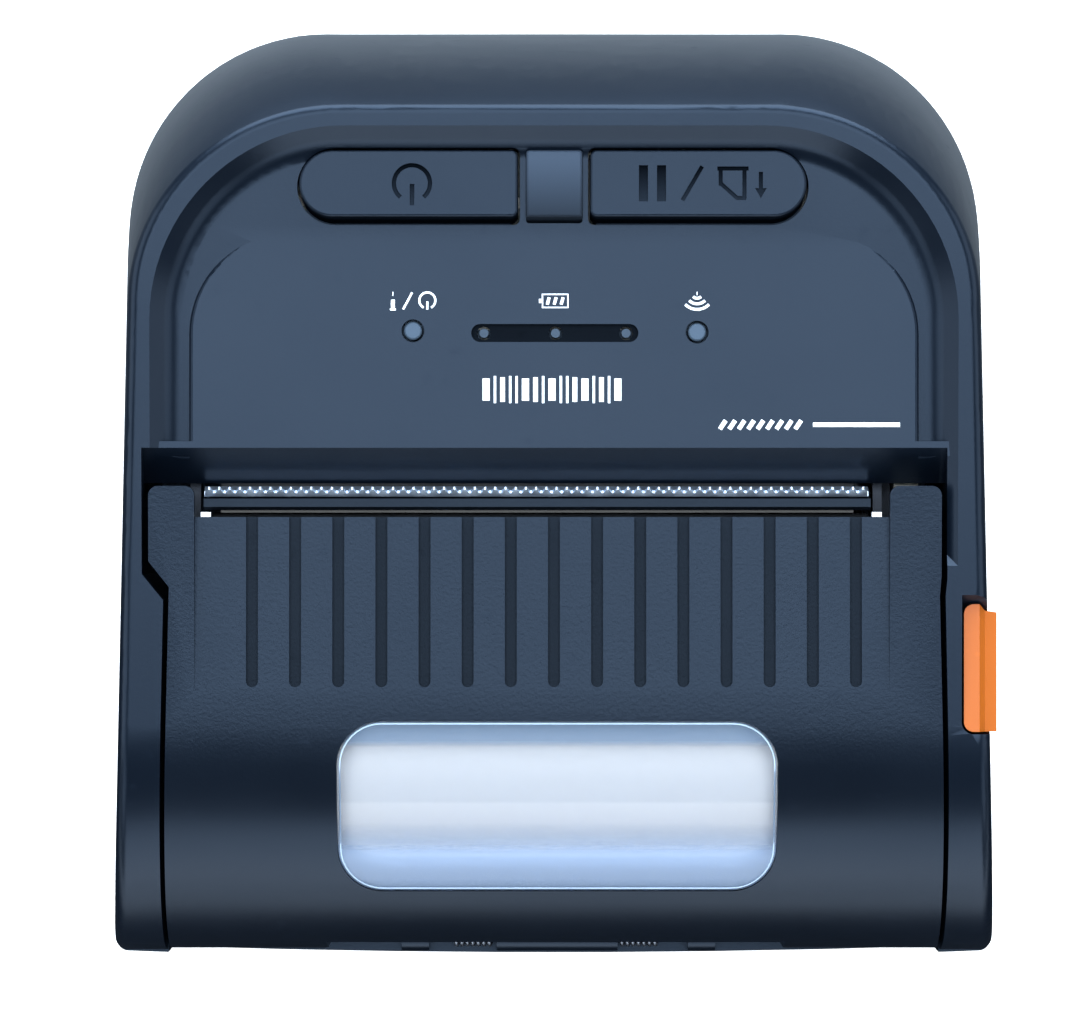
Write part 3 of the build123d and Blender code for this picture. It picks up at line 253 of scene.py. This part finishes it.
def slot_shade_mask(finish):
    """Painted shade inside the slot of the battery lights: 1 there."""
    deep = span(finish, "Z", panel_z - 0.25 * MM, panel_z - 0.6 * MM)
    beside = span(finish, "X", -10.6 * MM, -10.5 * MM) * span(finish, "X", 10.9 * MM, 10.8 * MM)
    along = (span(finish, "Y", status_centre.y - 1.7 * MM, status_centre.y - 1.6 * MM)
             * span(finish, "Y", status_centre.y + 1.3 * MM, status_centre.y + 1.2 * MM))
    return deep * beside * along


# the ramp of the cover that carries the grooves: z + slope * y is the same all over it
RAMP_SLOPE = 0.0246
RAMP_LEVEL = 48.07 * MM
GROOVE_FRONT = -24.2 * MM


def groove_shade_mask(finish):
    """Painted shade on the floors of the cover's grooves: 1 there."""
    level = finish.axis("Z") + finish.axis("Y") * RAMP_SLOPE
    shallow, full = RAMP_LEVEL - 0.18 * MM, RAMP_LEVEL - 0.62 * MM
    deep = finish.node("ShaderNodeMapRange", {"clamp": True},
                       {"Value": level, "From Min": shallow, "From Max": full})
    behind = finish.node("ShaderNodeMath", {"operation": "GREATER_THAN"},
                         {0: finish.axis("Y"), 1: GROOVE_FRONT})
    return deep * behind


# the masks given below paint shade into the colour of these parts
casing_finish = moulded("casing_plastic", INK, 0.30, 2600.0, 0.000008, painted_shade_wire=slot_shade_mask, shade_sheen_cut=0.75)
cover_finish = moulded("cover_plastic", shade(INK, 0.9), 0.31, 2300.0, 0.000040,
                       fade=(cover_low.y + 20 * MM, cover_low.y + 33 * MM), painted_shade_wire=groove_shade_mask)
key_finish = moulded("key_rubber", shade(INK, 1.0), 0.36, 4200.0, 0.000007,
                     painted_shade_wire=engraving_shade_mask, shade_sheen_cut=0.9)
# painted shade on the centre block: its colour darkens towards its front
block_finish = moulded("block_plastic", (0.0200, 0.0300, 0.0480), 0.34, 1500.0, 0.000003,
                       painted_shade_wire=lambda finish: span(finish, "Y", block_high.y - 1 * MM, block_low.y + 1 * MM))
guide_finish = moulded("black_plastic", (0.0020, 0.0030, 0.0050), 0.45, 2200.0, 0.000010)
battery_finish = moulded("battery_plastic", (0.0080, 0.0120, 0.0200), 0.45, 2000.0, 0.000014)
flap_finish = moulded("flap_rubber", (0.0060, 0.0100, 0.0180), 0.60, 2600.0, 0.000012)
orange_finish = moulded("orange_plastic", (0.355, 0.088, 0.007), 0.38, 1900.0, 0.000006, clouding=0.05)
gear_finish = moulded("gear_plastic", (0.62, 0.61, 0.56), 0.42, 1400.0, 0.000004, clouding=0.05)
lens_finish = moulded("light_guide", (0.036, 0.055, 0.082), 0.28, 900.0, 0.000004)
plate_finish = moulded("plate_film", (0.30, 0.32, 0.35), 0.46, 900.0, 0.000004, clouding=0.05)
blade_finish = metal("blade_steel", (0.66, 0.78, 0.95), 0.46, (200.0, 3000.0, 3000.0))
shaft_finish = metal("shaft_steel", (0.50, 0.54, 0.60), 0.32, (400.0, 4000.0, 4000.0))
spring_finish = metal("spring_steel", (0.17, 0.19, 0.23), 0.36, (2600.0, 500.0, 500.0))
sheet_finish = metal("sheet_steel", (0.46, 0.48, 0.52), 0.38, (260.0, 2600.0, 2600.0))
sink_finish = metal("heat_sink_metal", (0.030, 0.032, 0.036), 0.50, (120.0, 3000.0, 3000.0))
brass_finish = metal("brass", (0.68, 0.47, 0.17), 0.30, (3000.0, 3000.0, 500.0))
can_finish = metal("motor_can", (0.34, 0.35, 0.38), 0.36, (300.0, 3000.0, 3000.0))


def ceramic():
    """Dark glazed ceramic with faint specks."""
    finish = Finish("head_ceramic", (0.020, 0.019, 0.018), 0.18)
    finish.shader.inputs["Specular IOR Level"].default_value = 0.2
    specks = finish.noise(900.0, 2.0)
    tone = finish.blend(specks, (0.014, 0.013, 0.012), (0.030, 0.028, 0.026))
    return finish.use(tone, specks * 0.12 + 0.12, finish.bump(specks, 0.000002))


def circuit_board():
    """Solder mask over tracks that run both ways, with bare spots of tin."""
    finish = Finish("board", (0.012, 0.085, 0.030), 0.30)
    along = finish.ramp(finish.noise(1.0, 0.0, 0.5, finish.stretched(30, 700, 30)), (0.47, 0.0), (0.52, 1.0))
    across = finish.ramp(finish.noise(1.0, 0.0, 0.5, finish.stretched(700, 30, 30)), (0.47, 0.0), (0.52, 1.0))
    tracks = along * across
    pads = finish.ramp(finish.noise(520.0, 0.0), (0.70, 0.0), (0.72, 1.0))
    tone = finish.blend(tracks, (0.002, 0.014, 0.009), (0.004, 0.030, 0.018))
    tone = finish.blend(pads, tone, (0.55, 0.55, 0.50))
    return finish.use(tone, 0.34 - pads * 0.08, finish.bump(tracks + pads, 0.00003))


def ground_rubber():
    """Rubber roller, ground round and round, with a little paper dust."""
    finish = Finish("platen_rubber", (0.030, 0.034, 0.042), 0.62)
    rings = finish.noise(1.0, 2.0, 0.5, finish.stretched(2600, 60, 60))
    dust = finish.ramp(finish.noise(420.0, 3.0), (0.60, 0.0), (0.75, 1.0))
    tone = finish.blend(dust * 0.25, (0.030, 0.034, 0.042), (0.16, 0.17, 0.19))
    return finish.use(tone, rings * 0.12 + 0.56, finish.bump(rings, 0.00001))


def label_paper():
    """Coated label paper. The ends of the roll show its wound layers as fine rings."""
    finish = Finish("label_paper", (0.78, 0.82, 0.86), 0.48)
    centred = finish.node("ShaderNodeVectorMath", {"operation": "SUBTRACT"},
                          {0: finish.place(), 1: tuple(roll_centre)})
    flat = finish.node("ShaderNodeVectorMath", {"operation": "MULTIPLY"}, {0: centred, 1: (0, 1, 1)})
    radius = finish.node("ShaderNodeVectorMath", {"operation": "LENGTH"}, {0: flat}, output="Value")
    layers = finish.node("ShaderNodeMath", {"operation": "SINE"}, {0: radius * (tau / (0.34 * MM))})
    fibre = finish.noise(700.0, 4.0, 0.6)
    wander = finish.noise(60.0, 2.0)
    tone = finish.blend(fibre, (0.81, 0.81, 0.825), (0.87, 0.87, 0.875))
    inner = finish.ramp(radius / (0.5 * (roll_high.z - roll_low.z)), (0.90, 1.0), (0.985, 0.0))
    tone = finish.blend(inner * (layers * 0.2 + 0.3), tone, (0.56, 0.60, 0.66))
    return finish.use(tone, fibre * 0.12 + 0.42, finish.bump(layers * inner + wander * 0.4, 0.00003))


def core_board():
    """Wound grey board."""
    finish = Finish("core_board", (0.36, 0.28, 0.19), 0.80)
    fibre = finish.noise(1.0, 4.0, 0.65, finish.stretched(300, 1600, 1600))
    tone = finish.blend(fibre, (0.27, 0.20, 0.13), (0.45, 0.36, 0.25))
    return finish.use(tone, fibre * 0.15 + 0.72, finish.bump(fibre, 0.00006))


def clear_window():
    """Clear plastic, with a painted band of shade along its rear edge, a faint painted step of shade across
    it, and painted light where it curves down in front.
    Its mirror of the lights grows with the slant."""
    finish = Finish("window_plastic", (0.9, 0.95, 1.0), 0.06)
    smears = finish.noise(60.0, 3.0)
    glass = finish.node("ShaderNodeBsdfTransparent", inputs={"Color": (0.985, 0.99, 1.0, 1)})
    gloss = Wire(finish, finish.shader.outputs[0])
    # painted light towards the front, where the window curves down: a lighter tint over the roll
    front = span(finish, "Y", -40.5 * MM, -44.5 * MM)
    finish.use(finish.blend(front, (0.16, 0.24, 0.36), (0.42, 0.56, 0.80)), smears * 0.10 + 0.04)
    rim = finish.node("ShaderNodeFresnel", inputs={"IOR": 1.49})
    # painted shade: a band behind -30.2 mm along the rear edge and a faint step over all behind -37.7 mm,
    # mixed in with the painted light in front
    painted_light_and_shade = span(finish, "Y", -31.0 * MM, -30.2 * MM) * 0.34 + span(finish, "Y", -38.1 * MM, -37.7 * MM) * 0.05
    painted_light_and_shade = painted_light_and_shade + front * 0.30
    mixed = finish.node("ShaderNodeMixShader", inputs={0: rim * 0.9 + painted_light_and_shade, 1: glass, 2: gloss})
    finish.tree.links.new(mixed.socket, finish.tree.nodes["Material Output"].inputs[0])
    return finish


def print_white():
    """Screen print: dense white ink with tiny pinholes."""
    finish = Finish("white_print", (0.80, 0.87, 0.95), 0.50)
    holes = finish.ramp(finish.noise(3600.0, 2.0), (0.30, 0.6), (0.42, 1.0))
    tone = finish.blend(holes, (0.40, 0.47, 0.56), (0.82, 0.89, 0.97))
    return finish.use(tone, 0.58 - holes * 0.10, finish.bump(holes, 0.000004))


ceramic_finish = ceramic()
board_finish = circuit_board()
rubber_finish = ground_rubber()
paper_finish = label_paper()
core_finish = core_board()
window_finish = clear_window()
print_finish = print_white()
# light, glossy plastic for the wire round the window: painted highlight
window_highlight_finish = moulded("painted_window_highlight", (0.42, 0.55, 0.72), 0.12, 900.0, 0.000001, clouding=0.05)

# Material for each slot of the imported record
finishes = {
    "casing_plastic": casing_finish,
    "cover_plastic": cover_finish,
    "key_rubber": key_finish,
    "block_plastic": block_finish,
    "light_guide": lens_finish,
    "blade_steel": blade_finish,
    "black_plastic": guide_finish,
    "orange_plastic": orange_finish,
    "window_plastic": window_finish,
    "label_paper": paper_finish,
    "core_board": core_finish,
    "platen_rubber": rubber_finish,
    "shaft_steel": shaft_finish,
    "spring_steel": spring_finish,
    "sheet_steel": sheet_finish,
    "heat_sink_metal": sink_finish,
    "head_ceramic": ceramic_finish,
    "gear_plastic": gear_finish,
    "brass": brass_finish,
    "motor_can": can_finish,
    "board": board_finish,
    "battery_plastic": battery_finish,
    "flap_rubber": flap_finish,
    "plate_film": plate_finish,
}
# Steel pieces inside the paper slot, painted near black: painted shade behind the cover
slot_shade_steel_finish = metal("steel_in_painted_shade", (0.022, 0.026, 0.034), 0.5, (400.0, 4000.0, 4000.0))
finishes_of_nodes = {"latch_hooks": slot_shade_steel_finish, "gear_plate": slot_shade_steel_finish}
slot_of_node = {entry["node"]: entry["material_slot"] for entry in frame["record"]["subparts"]}
for node_name, node in frame["nodes"].items():
    for material_slot in node.material_slots:
        finish = finishes_of_nodes.get(node_name, finishes[slot_of_node[node_name]])
        material_slot.material = finish.material


# ---------------------------------------------------------------- modelling helpers
def deselect():
    bpy.ops.object.select_all(action="DESELECT")


def activate(piece):
    deselect()
    piece.select_set(True)
    bpy.context.view_layer.objects.active = piece


def finish_piece(piece, name, body, finish, replaced=()):
    """Names a finished piece, applies its place, and ties it to its body and its material."""
    activate(piece)
    bpy.ops.object.transform_apply(location=True, rotation=True, scale=True)
    piece.name = name
    piece.data.name = name
    piece.data.materials.clear()
    piece.data.materials.append(finish.material)
    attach(piece, body)
    if replaced:
        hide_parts(*replaced)
    return piece


def softened(node_name, name, width, segments=2, angle=28):
    """Copy of a CAD node with shared corners, small rounded edges and smooth shading."""
    source = frame["nodes"][node_name]
    piece = bpy.data.objects.new(name, source.data.copy())
    bpy.context.scene.collection.objects.link(piece)
    activate(piece)
    if piece.data.has_custom_normals:
        bpy.ops.mesh.customdata_custom_splitnormals_clear()
    bpy.ops.object.mode_set(mode="EDIT")
    bpy.ops.mesh.select_all(action="SELECT")
    bpy.ops.mesh.remove_doubles(threshold=0.000002)
    bpy.ops.mesh.dissolve_limited(angle_limit=radians(0.05))
    bpy.ops.object.mode_set(mode="OBJECT")
    edge_round = piece.modifiers.new("edge_round", "BEVEL")
    edge_round.width = width
    edge_round.segments = segments
    edge_round.limit_method = "ANGLE"
    edge_round.angle_limit = radians(angle)
    edge_round.use_clamp_overlap = True
    edge_round.miter_outer = "MITER_ARC"
    bpy.ops.object.modifier_apply(modifier=edge_round.name)
    bpy.ops.object.shade_smooth_by_angle(angle=radians(35))
    even = piece.modifiers.new("even_shading", "WEIGHTED_NORMAL")
    even.keep_sharp = True
    even.weight = 100
    bpy.ops.object.modifier_apply(modifier=even.name)
    body = source["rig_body"]
    slot_name = slot_of_node[node_name]
    return finish_piece(piece, name, body, finishes[slot_name], (node_name,))


def wire_piece(points, radius, resolution=3, cyclic=False):
    """Round wire along the points, made a mesh."""
    curve = bpy.data.curves.new("wire", "CURVE")
    curve.dimensions = "3D"
    curve.bevel_depth = radius
    curve.bevel_resolution = resolution
    curve.use_fill_caps = True
    spline = curve.splines.new("POLY")
    spline.points.add(len(points) - 1)
    for point, place in zip(spline.points, points):
        point.co = (*place, 1)
    spline.use_cyclic_u = cyclic
    piece = bpy.data.objects.new("wire", curve)
    bpy.context.scene.collection.objects.link(piece)
    activate(piece)
    bpy.ops.object.convert(target="MESH")
    return bpy.context.view_layer.objects.active


def joined(pieces):
    deselect()
    for piece in pieces:
        piece.select_set(True)
    bpy.context.view_layer.objects.active = pieces[0]
    bpy.ops.object.join()
    return bpy.context.view_layer.objects.active


# ---------------------------------------------------------------- springs
def coil_points(x_from, x_to, centre, radius, turns, steps=20):
    """Points of a helix round an axis along X."""
    points = []
    for step in range(turns * steps + 1):
        share = step / (turns * steps)
        angle = tau * turns * share
        points.append((x_from + (x_to - x_from) * share,
                       centre.y + radius * cos(angle), centre.z + radius * sin(angle)))
    return points


WIRE_R = 0.30 * MM
COIL_R = 1.20 * MM
SPRING_LENGTH = 5.5 * MM
HINGE_TURNS = 7
LEVER_TURNS = 6
LEVER_COIL_R = 2.0 * MM


def hinge_coil(start):
    """One wound spring on the hinge pin, from its left end."""
    end = start + SPRING_LENGTH - 2 * WIRE_R
    return wire_piece(coil_points(start, end, hinge_centre, COIL_R, HINGE_TURNS), WIRE_R)


left_coil = hinge_coil(spring_low.x + WIRE_R)
right_coil = hinge_coil(spring_high.x - SPRING_LENGTH + WIRE_R)
finish_piece(joined([left_coil, right_coil]), "hinge_coils", "casing", spring_finish,
             ("hinge_springs",))

lever_coil = wire_piece(
    coil_points(lever_spring_low.x + WIRE_R, lever_spring_high.x - WIRE_R,
                (lever_spring_low + lever_spring_high) / 2, LEVER_COIL_R, LEVER_TURNS), WIRE_R)
finish_piece(lever_coil, "lever_coil", "casing", spring_finish, ("lever_spring",))


# ---------------------------------------------------------------- printed marks
INK_RISE = 0.012 * MM


def stroke(points, width, cyclic=False):
    """Flat printed line through points on the panel, with its thickness pressed down to ink."""
    line = wire_piece([(x, y, 0.0) for x, y in points], width / 2, 2, cyclic)
    flatten = Matrix.Diagonal((1, 1, INK_RISE / (width / 2), 1))
    line.data.transform(Matrix.Translation((0, 0, panel_z)) @ flatten)
    return line


def arc(centre, radius, start, sweep, steps=28):
    """Points of an arc, with its angles in degrees."""
    turns = [radians(start + sweep * step / steps) for step in range(steps + 1)]
    return [(centre[0] + radius * cos(turn), centre[1] + radius * sin(turn)) for turn in turns]


def bar(x, y, width, height, lean=0.0):
    """Upright printed bar."""
    return stroke([(x - lean, y - height / 2 + width / 2), (x + lean, y + height / 2 - width / 2)], width)


MARK_Y = status_centre.y + 3.65 * MM
THIN = 0.26 * MM

info_x = status_centre.x - 2.45 * MM
power_x = status_centre.x + 1.75 * MM
marks = [
    bar(info_x, MARK_Y - 0.35 * MM, 0.50 * MM, 1.5 * MM),
    stroke([(info_x - 0.35 * MM, MARK_Y - 1.05 * MM), (info_x + 0.35 * MM, MARK_Y - 1.05 * MM)], 0.24 * MM),
    stroke([(info_x - 0.05 * MM, MARK_Y + 0.85 * MM), (info_x + 0.05 * MM, MARK_Y + 0.85 * MM)], 0.52 * MM),
    bar(status_centre.x - 0.65 * MM, MARK_Y, THIN, 2.3 * MM, 0.55 * MM),
    stroke(arc((power_x, MARK_Y + 0.05 * MM), 0.98 * MM, -62, 304), THIN),
    bar(power_x, MARK_Y - 0.55 * MM, THIN, 1.25 * MM),
]
wave_x = wireless_centre.x
wave_top = MARK_Y + 0.75 * MM
for ring in range(1, 4):
    marks.append(stroke(arc((wave_x, wave_top + 0.25 * MM), ring * 0.68 * MM, 225, 90, 14), 0.34 * MM))
wave_dot = [(wave_x + side * 0.05 * MM, wave_top + 0.15 * MM) for side in (-1, 1)]
marks.append(stroke(wave_dot, 0.44 * MM))
cell_x = 0.15 * MM
cell_half = (1.55 * MM, 0.80 * MM)
cell_corners = [(cell_x + side * cell_half[0], MARK_Y + end * cell_half[1])
                for side, end in ((-1, -1), (1, -1), (1, 1), (-1, 1))]
marks.append(stroke(cell_corners, 0.22 * MM, cyclic=True))
marks.append(bar(cell_x - cell_half[0] - 0.28 * MM, MARK_Y, 0.30 * MM, 0.8 * MM))
for offset in (-0.85, 0.0, 0.85):
    marks.append(bar(cell_x + offset * MM, MARK_Y, 0.38 * MM, 1.25 * MM, 0.12 * MM))

# a plain strip of bars, as on any label, and a short run of slanted ticks
STRIP_Y = 12.7 * MM
STRIP_HEIGHT = 3.6 * MM
BAR_PATTERN = (3, 1, 2, 1, 1, 3, 2, 1, 3, 1, 1, 2, 3, 1, 2, 1, 3)
BAR_UNIT = 0.30 * MM
bar_x = -(sum(BAR_PATTERN) + len(BAR_PATTERN) * 1.6) * BAR_UNIT / 2
for units in BAR_PATTERN:
    marks.append(bar(bar_x + units * BAR_UNIT / 2, STRIP_Y, units * BAR_UNIT, STRIP_HEIGHT))
    bar_x += (units + 1.6) * BAR_UNIT
TICK_Y = 8.4 * MM
for tick in range(9):
    marks.append(bar((20.6 + 1.15 * tick) * MM, TICK_Y, 0.55 * MM, 1.6 * MM, 0.35 * MM))
marks.append(stroke([(31.6 * MM, TICK_Y), (42.2 * MM, TICK_Y)], 0.55 * MM))
finish_piece(joined(marks), "printed_marks", "casing", print_finish)

# ---------------------------------------------------------------- shells with softened edges
softened("upper_casing", "casing_shell", 0.12 * MM)
softened("lower_casing", "base_shell", 0.12 * MM)
softened("media_cover", "cover_shell", 0.22 * MM)
softened("power_button", "power_cap", 0.15 * MM)
softened("feed_button", "feed_cap", 0.15 * MM)
softened("centre_block", "block_cap", 0.20 * MM)
softened("release_lever", "lever_pad", 0.35 * MM, 3)

# ---------------------------------------------------------------- painted highlight along the edge of the window
NOSE_Y = -26.5 * MM
NOSE_Z = 17.7 * MM
WINDOW_LEFT, WINDOW_RIGHT = -26.6 * MM, 27.4 * MM
WINDOW_FRONT, WINDOW_REAR = -49.1 * MM, -27.75 * MM
WINDOW_CORNER = 5.5 * MM
NOSE_R = 30.8 * MM


def edge_points(inset, depth):
    """Points round the window on the round of the cover, set in from the opening and below its skin."""
    left, right = WINDOW_LEFT + inset, WINDOW_RIGHT - inset
    front, rear = WINDOW_FRONT + inset, WINDOW_REAR - inset
    corner = WINDOW_CORNER - inset
    points = []
    for x, y, start in ((right, rear, 0), (left, rear, 90), (left, front, 180), (right, front, 270)):
        centre = (x - corner if x > 0 else x + corner, y - corner if y == rear else y + corner)
        points += arc(centre, corner, start, 90, 10)
    reach = NOSE_R - depth
    return [(x, y, NOSE_Z + (reach ** 2 - (y - NOSE_Y) ** 2) ** 0.5) for x, y in points]


# a light, glossy wire round the window, seen through it: painted highlight along its edge
rim = wire_piece(edge_points(0.36 * MM, 0.52 * MM), 0.11 * MM, 2, cyclic=True)
finish_piece(rim, "window_edge_highlight", "cover", window_highlight_finish)

# ---------------------------------------------------------------- stage, lights and camera
FLOOR_SIZE = 6.0
FLOOR_DROP = 0.1 * MM
deselect()
bpy.ops.mesh.primitive_plane_add(size=FLOOR_SIZE, location=(0, 0, -FLOOR_DROP))
floor = bpy.context.view_layer.objects.active
floor.name = "floor"
floor_finish = Finish("floor_white", (0.90, 0.91, 0.93), 0.8)
seen = floor_finish.node("ShaderNodeLightPath", output="Is Camera Ray")
cloth = floor_finish.noise(3.0)
floor_tone = floor_finish.blend(cloth, (0.89, 0.90, 0.92), (0.92, 0.93, 0.95))
# painted reflection: rays other than the camera's see the floor near black just in front of the printer, grey
# behind it and pale further out, which paints shade and light into what the cover mirrors
mirrored = floor_finish.blend(span(floor_finish, "Y", -0.02, 0.10), (0.012, 0.014, 0.018), (0.26, 0.29, 0.32))
mirrored = floor_finish.blend(span(floor_finish, "Y", -0.12, -0.18), mirrored, (0.85, 0.90, 0.95))
floor_finish.use(floor_finish.blend(seen, mirrored, floor_tone))
floor_finish.feed(floor_finish.shader.inputs["Emission Color"],
                  floor_finish.blend(seen, (0, 0, 0), (0.62, 0.62, 0.62)))
floor_finish.shader.inputs["Emission Strength"].default_value = 1.0
floor_finish.shader.inputs["Specular IOR Level"].default_value = 0.0
floor.data.materials.append(floor_finish.material)


def softbox(name, place, target, size, power, color):
    """Rectangular studio light that faces the target."""
    lamp = bpy.data.lights.new(name, "AREA")
    lamp.shape = "RECTANGLE"
    lamp.size, lamp.size_y = size
    lamp.energy = power
    lamp.color = color
    light = bpy.data.objects.new(name, lamp)
    light.location = place
    light.rotation_euler = (Vector(target) - Vector(place)).to_track_quat("-Z", "Y").to_euler()
    bpy.context.scene.collection.objects.link(light)
    return light


COOL = (0.90, 0.96, 1.0)
softbox("top_softbox", (0, 0.26, 1.12), (0, 0.20, 0), (0.95, 0.85), 19.5, COOL)
softbox("rear_softbox", (0, 1.15, 0.50), (0, 0.0, 0.05), (1.6, 0.9), 56, (0.80, 0.91, 1.0))
softbox("front_softbox", (0.0, -1.00, 0.33), (0, -0.03, 0.03), (0.8, 0.66), 7.6, COOL)
softbox("left_softbox", (-1.0, 0.12, 0.52), (0, 0.02, 0.03), (0.9, 0.8), 8.5, COOL)
softbox("right_softbox", (1.0, 0.12, 0.52), (0, 0.02, 0.03), (0.9, 0.8), 7.2, COOL)
softbox("front_left_softbox", (-0.75, -0.62, 0.62), (0, 0.02, 0.03), (0.5, 0.7), 3.0, COOL)
softbox("front_right_softbox", (0.75, -0.62, 0.62), (0, 0.02, 0.03), (0.5, 0.7), 3.0, COOL)

world = bpy.data.worlds.new("studio")
world.use_nodes = True
bpy.context.scene.world = world
background = world.node_tree.nodes["Background"]
light_path = world.node_tree.nodes.new("ShaderNodeLightPath")
sky = world.node_tree.nodes.new("ShaderNodeMix")
sky.data_type = "RGBA"
sky.inputs[6].default_value = (0.012, 0.014, 0.018, 1)
sky.inputs[7].default_value = (0.86, 0.89, 0.93, 1)
world.node_tree.links.new(light_path.outputs["Is Camera Ray"], sky.inputs[0])
world.node_tree.links.new(sky.outputs[2], background.inputs[0])

camera_data = bpy.data.cameras.new("camera")
camera_data.lens = CAMERA_LENS
camera_data.sensor_width = 36.0
camera_data.clip_start = 0.05
camera = bpy.data.objects.new("camera", camera_data)
camera.location = (CAMERA_X, CAMERA_Y, CAMERA_HEIGHT)
bpy.context.scene.collection.objects.link(camera)
bpy.context.scene.camera = camera
bpy.context.scene.view_settings.view_transform = "Standard"
